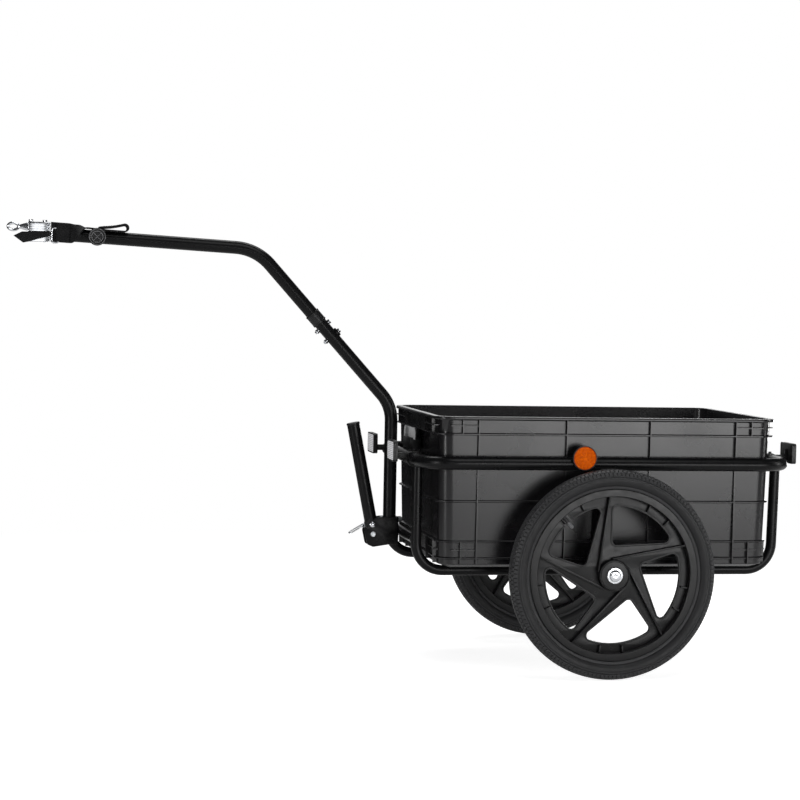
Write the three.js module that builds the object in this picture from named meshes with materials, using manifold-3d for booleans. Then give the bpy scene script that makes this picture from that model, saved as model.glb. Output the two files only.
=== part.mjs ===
import * as THREE from 'three';
import { mergeVertices } from 'three/addons/utils/BufferGeometryUtils.js';
import Module from 'manifold-3d';

// Cargo trailer for a bicycle, in millimetres.
// X runs rearward and the hitch is ahead at -X, Y runs to the trailer's right, Z is up.
// The origin lies on the ground, under the middle of the trailer's whole length.

const wasm = await Module();
wasm.setup();

// Shared clearances
const fit = 0.3;
const overrun = 4;
const mergeGap = 0.00001;

// Wheels: tyre, rim and track
const tyreRadius = 199.5;
const tyreWidth = 46;
const tyreWall = 3.5;
const treadWall = 6;
const wheelGap = 59;
const rimLipRadius = 163;
const rimSeatRadius = 152.5;
const rimInnerRadius = 148.5;
const rimWidth = 33;
const rimLip = 3;
const rimEdge = 2.5;

// Wheels: web, ribs and hub
const webThickness = 5;
const windowCorner = 9;
const windowNearRadius = 65.5;
const windowFarRadius = 121;
const ribThickness = 3.6;
const ribWidth = 29;
const ribOffset = 31;
const ribReach = 150;
const hubRadius = 30;
const hubWidth = 38;

// Bearings and stub axles
const bearingRadius = 14;
const bearingWidth = 8;
const hubBoreRadius = 10;
const spindleRadius = 6;
const shoulderRadius = 9;
const axleNutRadius = 15;
const axleNutHeight = 4.5;
const axleNutBore = 3;
const spindleEnd = 2.2;

// Inner tube and valve
const tubeRoom = 3;
const valveRadius = 4;
const valveTipRadius = 2.6;
const valveTip = 118;
const valveNeck = 132;
const valveNotch = 20;

// Tubes of the frame
const ringTube = 25;
const hoopTube = 20;
const ringGapLength = 31;
const ringGapWidth = 14;
const ringCorner = 64;
const ringRise = 211.7;
const hoopSetIn = 80;
const hoopDrop = 7.5;
const hoopBend = 52;
const hoopInset = 8;
const hoopLean = 5;
const crossRise = 59;
const rearCrossInset = 100;
const boxCentre = 7;
const ringSetBack = 2;

// Axle brackets
const bracketPlate = 4;
const bracketFoot = 60;
const bracketNeck = 26;
const shoulderRise = 40;
const bracketStand = 7.5;
const bracketTail = 10;

// Box
const boxHeight = 289.2;
const boxHalfLengthTop = 329;
const boxLengthDraft = 7;
const boxHalfWidthTop = 216;
const boxWidthDraft = 9;
const boxCorner = 26;
const boxWall = 3;
const boxFloor = 4;
const footInset = 20;
const footRise = 7;
const rimOverhang = 9;
const rimThickness = 6;
const lipThickness = 5;
const upperLipDrop = 33.5;
const middleLipRise = 127.7;
const bandLipRise = 50.7;
const lowerLipRise = 18.7;
const upperLipReach = 9;
const lipReach = 5;
const boxRibReach = 3;
const boxRibWidth = 5;
const innerRibShare = 0.2508;
const outerRibInset = 75;
const cornerRibInset = 44;
const endRibShare = 0.486;
const endCornerRibInset = 41;
const endRibWidth = 16;

// Drawbar
const drawbarTube = 25.4;
const drawbarBore = 21.4;
const drawbarFootRise = 40;
const kneeRise = 96.3;
const drawbarKneeBend = 77;
const slopeReach = 272.5;
const slopeRise = 302.3;
const drawbarShoulderBend = 98;
const barReach = 396;
const barRise = 20.5;
const jointReach = 229.1;
const collarLength = 25;
const collarWall = 1.8;
const spigotLength = 62;
const spigotBore = 17;
const jointBoltPlace = 22;
const jointBoltPitch = 26;
const boltRadius = 3;
const boltHead = 5;
const boltHeight = 4;
const boltTail = 3;
const saddleBumpWidth = 9;
const saddleBumpHeight = 3;

// Stand bracket, stand leg and its pull pin
const bracketGauge = 3;
const pivotReach = 36;
const pivotRise = 74;
const pivotRadius = 4;
const rivetHead = 5.8;
const rivetHeight = 3;
const webFootDrop = 39;
const webHeadRise = 15;
const chinDrop = 44;
const noseReach = 15.5;
const noseDrop = 12;
const browSetback = 4.5;
const browRise = 13;
const studSetback = 1.5;
const studDrop = 19;
const studRadius = 5;
const studHeight = 1.5;
const anchorRise = 9.5;
const anchorRadius = 4;
const anchorHead = 6.5;
const anchorHeadHeight = 6;
const anchorNutHeight = 6.5;
const legTube = 25;
const legLength = 200;
const legWall = 2;
const legSolid = 24;
const legLean = 11.35;
const footCapWall = 1.5;
const footCapHeight = 4;
const footPlugLength = 14;
const pinRadius = 2.5;
const pinDepth = 5.5;
const pinHeadRadius = 4.2;
const pinHeadLength = 6.5;
const pinEyeRadius = 1.7;
const loopWire = 2.2;
const loopLength = 31;
const loopWidth = 20;
const loopDrop = 30;

// Hitch
const tongueLength = 43;
const tongueWidth = 36;
const tongueRoot = 6;
const clampSetback = 1.3;
const tongueThickness = 5.4;
const saddleHeight = 18.5;
const saddleRib = 1.2;
const keeperHeight = 7;
const keeperFlange = 5.5;
const keeperWall = 2;
const clampFront = 5;
const clampRear = 32;
const clampOffset = 10.3;
const clampTail = 2;
const eyeRadius = 13.5;
const eyeOvalShare = 0.74;
const eyeHole = 6.5;
const eyeThickness = 10;
const eyeReach = 28;
const eyeNeckLength = 12;
const eyeNeckRadius = 8;
const eyeShankRadius = 5;
const eyeShankLength = 34;

// Strap, wire loop, webbing tail and knob
const webbing = 2.6;
const strapWidth = 38;
const strapSetback = 4;
const strapFlat = 31;
const strapTwist = 44;
const strapBulge = 5;
const strapRun = 64;
const strapCurlRadius = 7;
const strapReturn = 34;
const buckleSetback = 1.8;
const buckleDrop = 17.8;
const buckleHeight = 28;
const buckleReach = 12;
const buckleWire = 3;
const tailGap = 0.6;
const knobSetback = 87;
const knobRadius = 17;
const knobWidth = 10;
const knobNeck = 7;
const knobStud = 3;
const knobStudLength = 6;
const knobRing = 2;

// Reflectors
const plateWidth = 68;
const plateHeight = 40;
const plateDepth = 9;
const plateCorner = 5;
const lensInset = 2.5;
const lensDepth = 3;
const plateSetIn = 38;
const plateLift = 15.8;
const plateReachFront = 34;
const plateReachRear = 30;
const armWidth = 14;
const armHeight = 12;
const clampWidth = 12;
const clampBand = 2.4;
const discRadius = 23.5;
const discDepth = 8;
const discX = -47;
const discLift = 12.3;
const discLip = 2;
const discClip = 16;

// Stop plate between the box and the ring
const stopHalfWidth = 60;
const stopRise = 19.8;
const stopPlateHeight = 24;
const stopChamfer = 10;
const stopThickness = 3;
const stopBlockHalfWidth = 40;
const stopBlockFront = 6;

// Directions, counts and shares
const ribCount = 5;
const ribAngle = THREE.MathUtils.degToRad(82.2);
const valveAngle = THREE.MathUtils.degToRad(131.7);
const windowNearAngle = THREE.MathUtils.degToRad(1.3);
const windowFarAngle = THREE.MathUtils.degToRad(4.1);
const windowTipAngle = THREE.MathUtils.degToRad(-47);
const wheelSteps = 32;
const tubeSteps = 20;
const tubeSides = 12;
const roundSides = 14;
const boltSides = 10;
const holeSides = 8;
const hubSides = 20;
const cornerSteps = 5;

// Places that follow from the sizes: heights from the axle up, lengths from the box outward
const ringRadius = ringTube / 2;
const hoopRadius = hoopTube / 2;
const drawbarRadius = drawbarTube / 2;
const axleHeight = tyreRadius;
const hoopHeight = axleHeight - hoopDrop;
const crossHeight = hoopHeight + crossRise;
const bracketShoulder = hoopHeight + shoulderRise;
const ringHeight = hoopHeight + ringRise;
const ringTop = ringHeight + ringRadius;
const ringHalfLength = boxHalfLengthTop + ringGapLength;
const ringHalfWidth = boxHalfWidthTop + ringGapWidth;
const ringCentre = boxCentre + ringSetBack;
const ringFront = ringCentre - ringHalfLength;
const ringRear = ringCentre + ringHalfLength;
const hoopSpread = ringHalfWidth - hoopSetIn;
const plateSpread = hoopSpread - plateSetIn;
const wheelPlane = ringHalfWidth + wheelGap;

const boxBottom = hoopHeight + hoopRadius + fit;
const boxTop = boxBottom + boxHeight;
const boxHalfLengthFloor = boxHalfLengthTop - boxLengthDraft;
const boxHalfWidthFloor = boxHalfWidthTop - boxWidthDraft;
const upperLipHeight = boxTop - upperLipDrop;
const middleLipHeight = boxBottom + middleLipRise;
const bandLipHeight = boxBottom + bandLipRise;
const lowerLipHeight = boxBottom + lowerLipRise;
const innerRibPlace = boxHalfLengthTop * innerRibShare;
const outerRibPlace = boxHalfLengthTop - outerRibInset;
const cornerRibPlace = boxHalfLengthTop - cornerRibInset;
const endRibPlace = boxHalfWidthTop * endRibShare;
const endCornerRibPlace = boxHalfWidthTop - endCornerRibInset;

const drawbarX = ringFront - ringRadius - fit - drawbarRadius;
const webFront = drawbarX + drawbarRadius + fit;
const webRear = webFront + bracketGauge;
const frontCrossX = webRear + fit + hoopRadius;
const drawbarFoot = hoopHeight + drawbarFootRise;
const drawbarKneeHeight = ringHeight + kneeRise;
const drawbarShoulderX = drawbarX - slopeReach;
const drawbarShoulderZ = drawbarKneeHeight + slopeRise;
const drawbarEndX = drawbarShoulderX - barReach;
const drawbarEndZ = drawbarShoulderZ + barRise;

const pivotX = drawbarX - pivotReach;
const pivotZ = hoopHeight + pivotRise;
const anchorHeight = pivotZ + anchorRise;
const webFoot = pivotZ - webFootDrop;
const webHead = pivotZ + webHeadRise;
const bracketChin = pivotZ - chinDrop;
const bracketNoseX = pivotX - noseReach;
const bracketNoseZ = pivotZ - noseDrop;
const bracketBrowX = pivotX + browSetback;
const bracketBrowZ = pivotZ + browRise;
const studX = pivotX + studSetback;
const studZ = pivotZ - studDrop;

const strapFront = drawbarEndX + strapSetback;
const strapTurnStart = strapFront + strapFlat;
const strapTurnEnd = strapTurnStart + strapTwist;
const strapCurl = strapTurnEnd + strapRun;
const strapTip = strapCurl - strapReturn;
const buckleX = drawbarEndX + buckleSetback;
const buckleFoot = drawbarEndZ - buckleDrop;
const buckleHead = buckleFoot + buckleHeight;
const knobX = drawbarEndX + knobSetback;

const plateCentre = ringHeight + plateLift;
const discHeight = ringHeight + discLift;
const stopFoot = ringTop + stopRise;
const stopHead = stopFoot + stopPlateHeight;

const alongY = new THREE.Vector3(0, 1, 0);
const alongZ = new THREE.Vector3(0, 0, 1);
const vector = (x, y, z) => new THREE.Vector3(x, y, z);

// Closed bodies from points and triangles, turned so that they face outward
function closed(places, triangles) {
  const raw = new THREE.BufferGeometry();
  raw.setAttribute('position', new THREE.Float32BufferAttribute(places, 3));
  raw.setIndex(triangles);
  return welded(raw);
}

function welded(geometry) {
  const bare = geometry.clone();
  bare.deleteAttribute('normal');
  bare.deleteAttribute('uv');
  const merged = mergeVertices(bare, mergeGap);
  const index = merged.index.array;
  const kept = [];
  for (let i = 0; i < index.length; i += 3) {
    const [a, b, c] = [index[i], index[i + 1], index[i + 2]];
    if (a !== b && b !== c && c !== a) kept.push(a, b, c);
  }
  merged.setIndex(volume(merged.attributes.position, kept) < 0 ? kept.reverse() : kept);
  merged.computeVertexNormals();
  return merged;
}

function volume(position, triangles) {
  const [a, b, c] = [vector(), vector(), vector()];
  let total = 0;
  for (let i = 0; i < triangles.length; i += 3) {
    a.fromBufferAttribute(position, triangles[i]);
    b.fromBufferAttribute(position, triangles[i + 1]);
    c.fromBufferAttribute(position, triangles[i + 2]);
    total += a.dot(b.cross(c));
  }
  return total;
}

// A skin over rings of points, closed on itself or with an end face on the first and last ring
function skin(rings, loop = false) {
  const around = rings[0].length;
  const places = rings.flat().flatMap((point) => [point.x, point.y, point.z]);
  const triangles = [];
  const spans = loop ? rings.length : rings.length - 1;
  for (let i = 0; i < spans; i += 1) {
    const here = i * around;
    const next = ((i + 1) % rings.length) * around;
    for (let j = 0; j < around; j += 1) {
      const k = (j + 1) % around;
      triangles.push(here + j, next + j, next + k, here + j, next + k, here + k);
    }
  }
  const end = spans * around;
  for (let j = 1; !loop && j < around - 1; j += 1) {
    triangles.push(0, j, j + 1, end, end + j + 1, end + j);
  }
  return closed(places, triangles);
}

// Booleans
function toSolid(geometry) {
  const clean = welded(geometry);
  const vertProperties = new Float32Array(clean.attributes.position.array);
  const triVerts = new Uint32Array(clean.index.array);
  return new wasm.Manifold(new wasm.Mesh({ numProp: 3, vertProperties, triVerts }));
}

function fromSolid(solid) {
  const mesh = solid.getMesh();
  return closed(Array.from(mesh.vertProperties), Array.from(mesh.triVerts));
}

function join(first, ...others) {
  return fromSolid(others.reduce((whole, piece) => whole.add(toSolid(piece)), toSolid(first)));
}

function cut(body, ...tools) {
  return fromSolid(tools.reduce((whole, tool) => whole.subtract(toSolid(tool)), toSolid(body)));
}

// A path through corners, with an arc of the given bend at each corner
function bent(corners, bend, steps, loop = false) {
  const path = [];
  const count = corners.length;
  corners.forEach((corner, i) => {
    if (!loop && (i === 0 || i === count - 1)) {
      path.push(corner.clone());
      return;
    }
    const radius = Array.isArray(bend) ? bend[i] : bend;
    const back = corners[(i + count - 1) % count].clone().sub(corner).normalize();
    const ahead = corners[(i + 1) % count].clone().sub(corner).normalize();
    const turn = Math.PI - back.angleTo(ahead);
    const centre = back.clone().add(ahead).normalize()
      .multiplyScalar(radius / Math.cos(turn / 2)).add(corner);
    const spoke = corner.clone().addScaledVector(back, radius * Math.tan(turn / 2)).sub(centre);
    const axis = ahead.clone().cross(back).normalize();
    for (let step = 0; step <= steps; step += 1) {
      const angle = turn * step / steps;
      path.push(spoke.clone().applyAxisAngle(axis, angle).add(centre));
    }
  });
  return path;
}

// A round bar along a flat path
function pipe(path, normal, radius, sides, loop = false) {
  const count = path.length;
  const rings = path.map((point, i) => {
    const before = loop || i > 0 ? path[(i + count - 1) % count] : null;
    const after = loop || i < count - 1 ? path[(i + 1) % count] : null;
    const into = before ? point.clone().sub(before).normalize() : after.clone().sub(point).normalize();
    const out = after ? after.clone().sub(point).normalize() : into.clone();
    const side = into.clone().add(out).normalize().cross(normal);
    const stretch = 1 / Math.cos(into.angleTo(out) / 2);
    return Array.from({ length: sides }, (_, j) => {
      const angle = (j + 0.5) * 2 * Math.PI / sides;
      return point.clone().addScaledVector(side, Math.cos(angle) * radius * stretch)
        .addScaledVector(normal, Math.sin(angle) * radius);
    });
  });
  return skin(rings, loop);
}

// A turned body about Y from (radius, place) points that close on themselves or on the axis
function turned(profile, segments) {
  const rings = profile.map(([radius, place]) => Array.from({ length: segments }, (_, j) => {
    const angle = (j + 0.5) * 2 * Math.PI / segments;
    return vector(radius * Math.cos(angle), place, radius * Math.sin(angle));
  }));
  return skin(rings, true);
}

// A plain rod from one point to another
function rod(from, to, radius, segments = boltSides) {
  const length = from.distanceTo(to);
  const body = turned([[0, 0], [radius, 0], [radius, length], [0, length]], segments);
  const turn = new THREE.Quaternion().setFromUnitVectors(alongY, to.clone().sub(from).normalize());
  return body.applyQuaternion(turn).translate(from.x, from.y, from.z);
}

// A block between two corners
function block(low, high) {
  const size = high.clone().sub(low);
  const centre = high.clone().add(low).multiplyScalar(0.5);
  return new THREE.BoxGeometry(size.x, size.y, size.z).translate(centre.x, centre.y, centre.z);
}

// A plate cut to an outline in X and Z, between two places along Y
function platePiece(outline, from, to, holes = []) {
  const shape = new THREE.Shape(outline.map(([x, z]) => new THREE.Vector2(x, z)));
  shape.holes = holes.map((hole) => new THREE.Path(hole.map(([x, z]) => new THREE.Vector2(x, z))));
  const body = new THREE.ExtrudeGeometry(shape, { depth: to - from, bevelEnabled: false });
  return body.rotateX(Math.PI / 2).translate(0, to, 0);
}

function mirrored(geometry) {
  return welded(geometry.clone().scale(1, -1, 1));
}

function arc(centreX, centreZ, radius, from, to, steps) {
  return Array.from({ length: steps + 1 }, (_, i) => {
    const angle = THREE.MathUtils.lerp(from, to, i / steps);
    return [centreX + radius * Math.cos(angle), centreZ + radius * Math.sin(angle)];
  });
}

// Finishes
const finish = (color, roughness, metalness) => (
  new THREE.MeshStandardMaterial({ color, roughness, metalness }));
const framePaint = () => finish('#1b1b1c', 0.38, 0.2);
const boxPlastic = () => finish('#3a393b', 0.55, 0);
const wheelPlastic = () => finish('#2c2c2d', 0.5, 0);
const tyreRubber = () => finish('#262627', 0.85, 0);
const tubeRubber = () => finish('#1a1a1a', 0.7, 0);
const chrome = () => finish('#d9dbde', 0.15, 1);
const zinc = () => finish('#b9bcc0', 0.35, 1);
const bearingSteel = () => finish('#9da0a4', 0.3, 1);
const blackPlastic = () => finish('#151516', 0.5, 0);
const webbingCloth = () => finish('#19191a', 0.95, 0);
const clearLens = () => finish('#b4b4b6', 0.2, 0);
const redLens = () => finish('#a3141a', 0.2, 0);
const amberLens = () => finish('#e06a10', 0.2, 0);
const greyPlastic = () => finish('#737375', 0.5, 0);

const trailer = new THREE.Group();
trailer.name = 'cargo_trailer';

function place(name, geometry, material, parent = trailer) {
  const mesh = new THREE.Mesh(geometry, material);
  mesh.name = name;
  parent.add(mesh);
  return mesh;
}

// Frame ring and hoops
const ringPath = bent([
  vector(ringFront, -ringHalfWidth, ringHeight), vector(ringRear, -ringHalfWidth, ringHeight),
  vector(ringRear, ringHalfWidth, ringHeight), vector(ringFront, ringHalfWidth, ringHeight),
], ringCorner, cornerSteps + 1, true);
const ringSeat = pipe(ringPath, alongZ, ringRadius + fit, tubeSides, true);

function hoopPath(side) {
  const rearFoot = ringRear - hoopInset;
  return bent([
    vector(ringFront, side * hoopSpread, ringHeight),
    vector(ringFront, side * hoopSpread, hoopHeight),
    vector(rearFoot, side * hoopSpread, hoopHeight),
    vector(rearFoot + hoopLean, side * hoopSpread, ringHeight),
  ], hoopBend, cornerSteps);
}

const hoopSeats = [-1, 1].map((side) => pipe(hoopPath(side), alongY, hoopRadius + fit, tubeSides));

function crossTube(x, z) {
  const half = hoopSpread - hoopRadius / 2;
  return cut(rod(vector(x, -half, z), vector(x, half, z), hoopRadius, tubeSides), ...hoopSeats);
}


place('frame_ring', pipe(ringPath, alongZ, ringRadius, tubeSides, true), framePaint());
[['left', -1], ['right', 1]].forEach(([label, side]) => {
  const hoop = cut(pipe(hoopPath(side), alongY, hoopRadius, tubeSides), ringSeat);
  place(`hoop_${label}`, hoop, framePaint());
});
place('cross_tube_front', crossTube(frontCrossX, crossHeight), framePaint());
place('cross_tube_rear', crossTube(ringRear - rearCrossInset, hoopHeight), framePaint());
place('axle_beam', crossTube(0, hoopHeight), framePaint());

// Axle brackets and stub axles
const hubInner = wheelPlane - hubWidth / 2;
const hubOuter = wheelPlane + hubWidth / 2;
const bracketOuter = ringHalfWidth + bracketStand + bracketPlate / 2;
const bracketTop = hoopHeight - hoopRadius - fit;
const bracketInner = bracketOuter - bracketPlate;

function axleBracket() {
  const foot = block(
    vector(-bracketFoot / 2, hoopSpread - bracketTail, bracketTop - bracketPlate),
    vector(bracketFoot / 2, bracketOuter, bracketTop),
  );
  const leg = platePiece([
    [-bracketFoot / 2, bracketTop - bracketPlate], [bracketFoot / 2, bracketTop - bracketPlate],
    [bracketNeck / 2, bracketShoulder], [bracketNeck / 2, ringHeight],
    [-bracketNeck / 2, ringHeight], [-bracketNeck / 2, bracketShoulder],
  ], bracketInner, bracketOuter);
  const bore = rod(
    vector(0, bracketInner - overrun, axleHeight),
    vector(0, bracketOuter + overrun, axleHeight), spindleRadius + fit, roundSides,
  );
  return cut(join(foot, leg), ringSeat, bore);
}

function spindle() {
  return turned([
    [0, bracketInner], [spindleRadius, bracketInner],
    [spindleRadius, bracketOuter + fit], [shoulderRadius, bracketOuter + fit],
    [shoulderRadius, hubInner - fit], [spindleRadius, hubInner - fit],
    [spindleRadius, hubOuter + spindleEnd], [0, hubOuter + spindleEnd],
  ], roundSides);
}

function axleNut() {
  const seat = hubOuter + fit;
  const crown = seat + axleNutHeight;
  return turned([
    [spindleRadius + fit, seat], [axleNutRadius, seat],
    [axleNutRadius, seat + axleNutHeight / 4], [axleNutRadius * 0.84, seat + axleNutHeight * 0.7],
    [axleNutRadius * 0.5, seat + axleNutHeight * 0.95], [0, crown],
    [0, seat + axleNutBore], [spindleRadius + fit, seat + axleNutBore],
  ], roundSides);
}

// Wheels
const rimHalf = rimWidth / 2;
const seatHalf = rimHalf - rimLip;

function rimBody() {
  const lipSide = [
    [rimInnerRadius, rimHalf], [rimLipRadius - rimEdge, rimHalf],
    [rimLipRadius, seatHalf], [rimSeatRadius, seatHalf],
  ];
  const farSide = lipSide.map(([radius, y]) => [radius, -y]).reverse();
  return turned([...lipSide, ...farSide], wheelSteps);
}

function windowOutline(turn) {
  const at = (radius, angle) => [radius * Math.cos(angle), radius * Math.sin(angle)];
  const near = at(windowNearRadius, windowNearAngle);
  const far = at(windowFarRadius, windowFarAngle);
  const tip = at(windowFarRadius, windowTipAngle);
  const heading = (from, to) => Math.atan2(to[1] - from[1], to[0] - from[0]);
  const leftSide = heading(near, far) + Math.PI / 2;
  const lowSide = heading(tip, near) + Math.PI / 2;
  const outline = [
    ...arc(...near, windowCorner, lowSide, leftSide, 2),
    ...arc(...far, windowCorner, leftSide, windowFarAngle, 2),
    ...arc(0, 0, windowFarRadius + windowCorner, windowFarAngle, windowTipAngle, 4).slice(1, -1),
    ...arc(...tip, windowCorner, windowTipAngle, lowSide - 2 * Math.PI, 2),
  ];
  return outline.map(([x, z]) => [
    x * Math.cos(turn) - z * Math.sin(turn), x * Math.sin(turn) + z * Math.cos(turn),
  ]);
}

function wheelBody() {
  const middle = (rimInnerRadius + rimSeatRadius) / 2;
  const edge = arc(0, 0, middle, Math.PI / wheelSteps, 2 * Math.PI + Math.PI / wheelSteps, wheelSteps);
  const windows = [];
  const extras = [];
  for (let k = 0; k < ribCount; k += 1) {
    const turn = ribAngle + k * 2 * Math.PI / ribCount;
    windows.push(windowOutline(turn));
    const rib = block(
      vector(0, -ribWidth / 2, ribOffset - ribThickness / 2),
      vector(ribReach, ribWidth / 2, ribOffset + ribThickness / 2),
    );
    const reachCut = Math.sqrt(middle ** 2 - ribOffset ** 2);
    extras.push(rib.scale(reachCut / ribReach, 1, 1).rotateY(-turn));
  }
  const web = platePiece(edge.slice(0, -1), -webThickness / 2, webThickness / 2, windows);
  const hub = turned([[0, -hubWidth / 2], [hubRadius, -hubWidth / 2], [hubRadius, hubWidth / 2],
    [0, hubWidth / 2]], hubSides);
  const seatDepth = bearingWidth + fit;
  const bore = turned([
    [0, -hubWidth / 2 - overrun], [bearingRadius + fit, -hubWidth / 2 - overrun],
    [bearingRadius + fit, seatDepth - hubWidth / 2], [hubBoreRadius, seatDepth - hubWidth / 2],
    [hubBoreRadius, hubWidth / 2 - seatDepth], [bearingRadius + fit, hubWidth / 2 - seatDepth],
    [bearingRadius + fit, hubWidth / 2 + overrun], [0, hubWidth / 2 + overrun],
  ], roundSides);
  const outward = vector(Math.cos(valveAngle), 0, Math.sin(valveAngle));
  const valveHole = rod(outward.clone().multiplyScalar(valveTip),
    outward.clone().multiplyScalar(rimSeatRadius + overrun), valveRadius + fit, 8);
  const notch = block(
    vector(valveTip, -webThickness, -valveNotch / 2),
    vector(rimInnerRadius - rimEdge, webThickness, valveNotch / 2),
  ).rotateY(-valveAngle);
  return cut(join(rimBody(), web, hub, ...extras), bore, notch, valveHole);
}

function tyreBody() {
  const half = tyreWidth / 2;
  const bead = seatHalf - fit;
  const foot = rimSeatRadius + fit;
  const lip = rimLipRadius + fit;
  const height = tyreRadius - lip;
  const outer = [
    [foot, bead], [lip, bead], [lip + height * 0.2, half * 0.87], [lip + height * 0.54, half],
    [lip + height * 0.83, half * 0.8], [tyreRadius / Math.cos(Math.PI / wheelSteps), half * 0.34],
  ];
  const inner = [
    [foot, bead - tyreWall], [lip + height * 0.54, half - tyreWall],
    [tyreRadius - treadWall, half * 0.36],
  ];
  const flip = (points) => points.map(([radius, y]) => [radius, -y]);
  return turned([...outer, ...flip(outer).reverse(), ...flip(inner), ...inner.reverse()], wheelSteps);
}

function innerTube() {
  const half = tyreWidth / 2;
  const bead = seatHalf - fit - tyreWall - fit;
  const low = (rimSeatRadius + fit) / Math.cos(Math.PI / tubeSteps);
  const top = tyreRadius - treadWall - tubeRoom;
  const mid = rimLipRadius + (tyreRadius - rimLipRadius) * 0.5;
  const wide = half - tyreWall - tubeRoom;
  const ringBody = turned([
    [low, -bead], [mid, -wide], [top, -half * 0.3], [top, half * 0.3], [mid, wide], [low, bead],
  ], tubeSteps);
  const outward = vector(Math.cos(valveAngle), 0, Math.sin(valveAngle));
  const at = (radius) => outward.clone().multiplyScalar(radius);
  return join(ringBody,
    rod(at(valveNeck), at(rimSeatRadius + overrun), valveRadius, 8),
    rod(at(valveTip), at(valveNeck + overrun), valveTipRadius, 8));
}

function bearing() {
  const half = bearingWidth / 2;
  return turned([
    [spindleRadius + fit, -half], [bearingRadius, -half],
    [bearingRadius, half], [spindleRadius + fit, half],
  ], roundSides);
}

[['left', -1], ['right', 1]].forEach(([label, side]) => {
  const turn = side < 0 ? Math.PI : 0;
  const fixed = new THREE.Group();
  trailer.add(fixed);
  place(`axle_bracket_${label}`, side < 0 ? mirrored(axleBracket()) : axleBracket(), framePaint(), fixed);
  const axle = new THREE.Group();
  axle.position.z = axleHeight;
  axle.rotation.z = turn;
  trailer.add(axle);
  place(`spindle_${label}`, spindle(), bearingSteel(), axle);
  place(`axle_nut_${label}`, axleNut(), chrome(), axle);

  const wheel = new THREE.Group();
  wheel.position.set(0, side * wheelPlane, axleHeight);
  wheel.rotation.z = side < 0 ? 0 : Math.PI;
  trailer.add(wheel);
  place(`wheel_${label}`, wheelBody(), wheelPlastic(), wheel);
  place(`tyre_${label}`, tyreBody(), tyreRubber(), wheel);
  place(`inner_tube_${label}`, innerTube(), tubeRubber(), wheel);
  const bearingPlace = hubWidth / 2 - bearingWidth / 2;
  place(`bearing_outer_${label}`, bearing(), bearingSteel(), wheel).position.y = -bearingPlace;
  place(`bearing_inner_${label}`, bearing(), bearingSteel(), wheel).position.y = bearingPlace;
});

// Box

function wallAt(z) {
  const share = (z - boxBottom) / (boxTop - boxBottom);
  return [
    THREE.MathUtils.lerp(boxHalfLengthFloor, boxHalfLengthTop, share),
    THREE.MathUtils.lerp(boxHalfWidthFloor, boxHalfWidthTop, share),
  ];
}

function boxRing(z, reach) {
  const [halfLength, halfWidth] = wallAt(z);
  const [x, y] = [halfLength + reach, halfWidth + reach];
  const corner = boxCorner + reach;
  const points = [[1, 1], [-1, 1], [-1, -1], [1, -1]].flatMap(([signX, signY], quarter) => (
    arc(boxCentre + signX * (x - corner), signY * (y - corner), corner,
      quarter * Math.PI / 2, (quarter + 1) * Math.PI / 2, 4)
  ));
  return points.map(([px, py]) => vector(px, py, z));
}

function lipRings(z, reach) {
  const half = lipThickness / 2;
  const places = [[-half, 0], [-half / 2, reach], [half / 2, reach], [half, 0]];
  return places.map(([rise, out]) => boxRing(z + rise, out));
}

function boxRib(x, y, width, endWall, from, to) {
  const lean = (z) => wallAt(z)[endWall ? 0 : 1] + boxRibReach;
  const side = Math.sign(endWall ? x : y);
  const centre = endWall ? y : x;
  const rings = [from, to].map((z) => {
    const out = side * lean(z);
    const back = out - side * (boxRibReach + boxWall / 2);
    const corners = [[centre - width / 2, out], [centre + width / 2, out],
      [centre + width / 2, back], [centre - width / 2, back]];
    return corners.map(([along, across]) => (
      endWall ? vector(boxCentre + across, along, z) : vector(boxCentre + along, across, z)
    ));
  });
  return skin(rings);
}

function boxTub() {
  const rings = [
    boxRing(boxBottom + boxFloor, -footInset), boxRing(boxBottom + boxFloor + footRise, -boxWall),
    boxRing(boxTop, -boxWall),
    boxRing(boxTop, rimOverhang), boxRing(boxTop - rimThickness, rimOverhang),
    boxRing(boxTop - rimThickness - boxWall / 2, 0),
    ...lipRings(upperLipHeight, upperLipReach).reverse(),
    ...[middleLipHeight, bandLipHeight, lowerLipHeight].flatMap((z) => lipRings(z, lipReach).reverse()),
    boxRing(boxBottom + footRise, 0), boxRing(boxBottom, -footInset),
  ];
  const bottom = boxBottom + footRise;
  const top = boxTop - rimThickness - boxWall;
  const ribs = [];
  [-1, 1].forEach((side) => {
    [-outerRibPlace, -innerRibPlace, innerRibPlace, outerRibPlace].forEach((x) => {
      ribs.push(boxRib(x, side, boxRibWidth, false, bottom, top));
    });
    [-cornerRibPlace, cornerRibPlace].forEach((x) => {
      ribs.push(boxRib(x, side, boxRibWidth, false, bottom, bandLipHeight));
      ribs.push(boxRib(x, side, boxRibWidth, false, upperLipHeight, top));
    });
    [-endCornerRibPlace, -endRibPlace, endRibPlace, endCornerRibPlace].forEach((y) => {
      ribs.push(boxRib(side, y, boxRibWidth, true, bottom, bandLipHeight));
      ribs.push(boxRib(side, y, boxRibWidth, true, upperLipHeight, top));
    });
    ribs.push(boxRib(side, 0, endRibWidth, true, bottom, top));
  });
  return join(skin(rings), ...ribs);
}

place('box_tub', boxTub(), boxPlastic());

// Stop plate between the front wall and the ring

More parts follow.
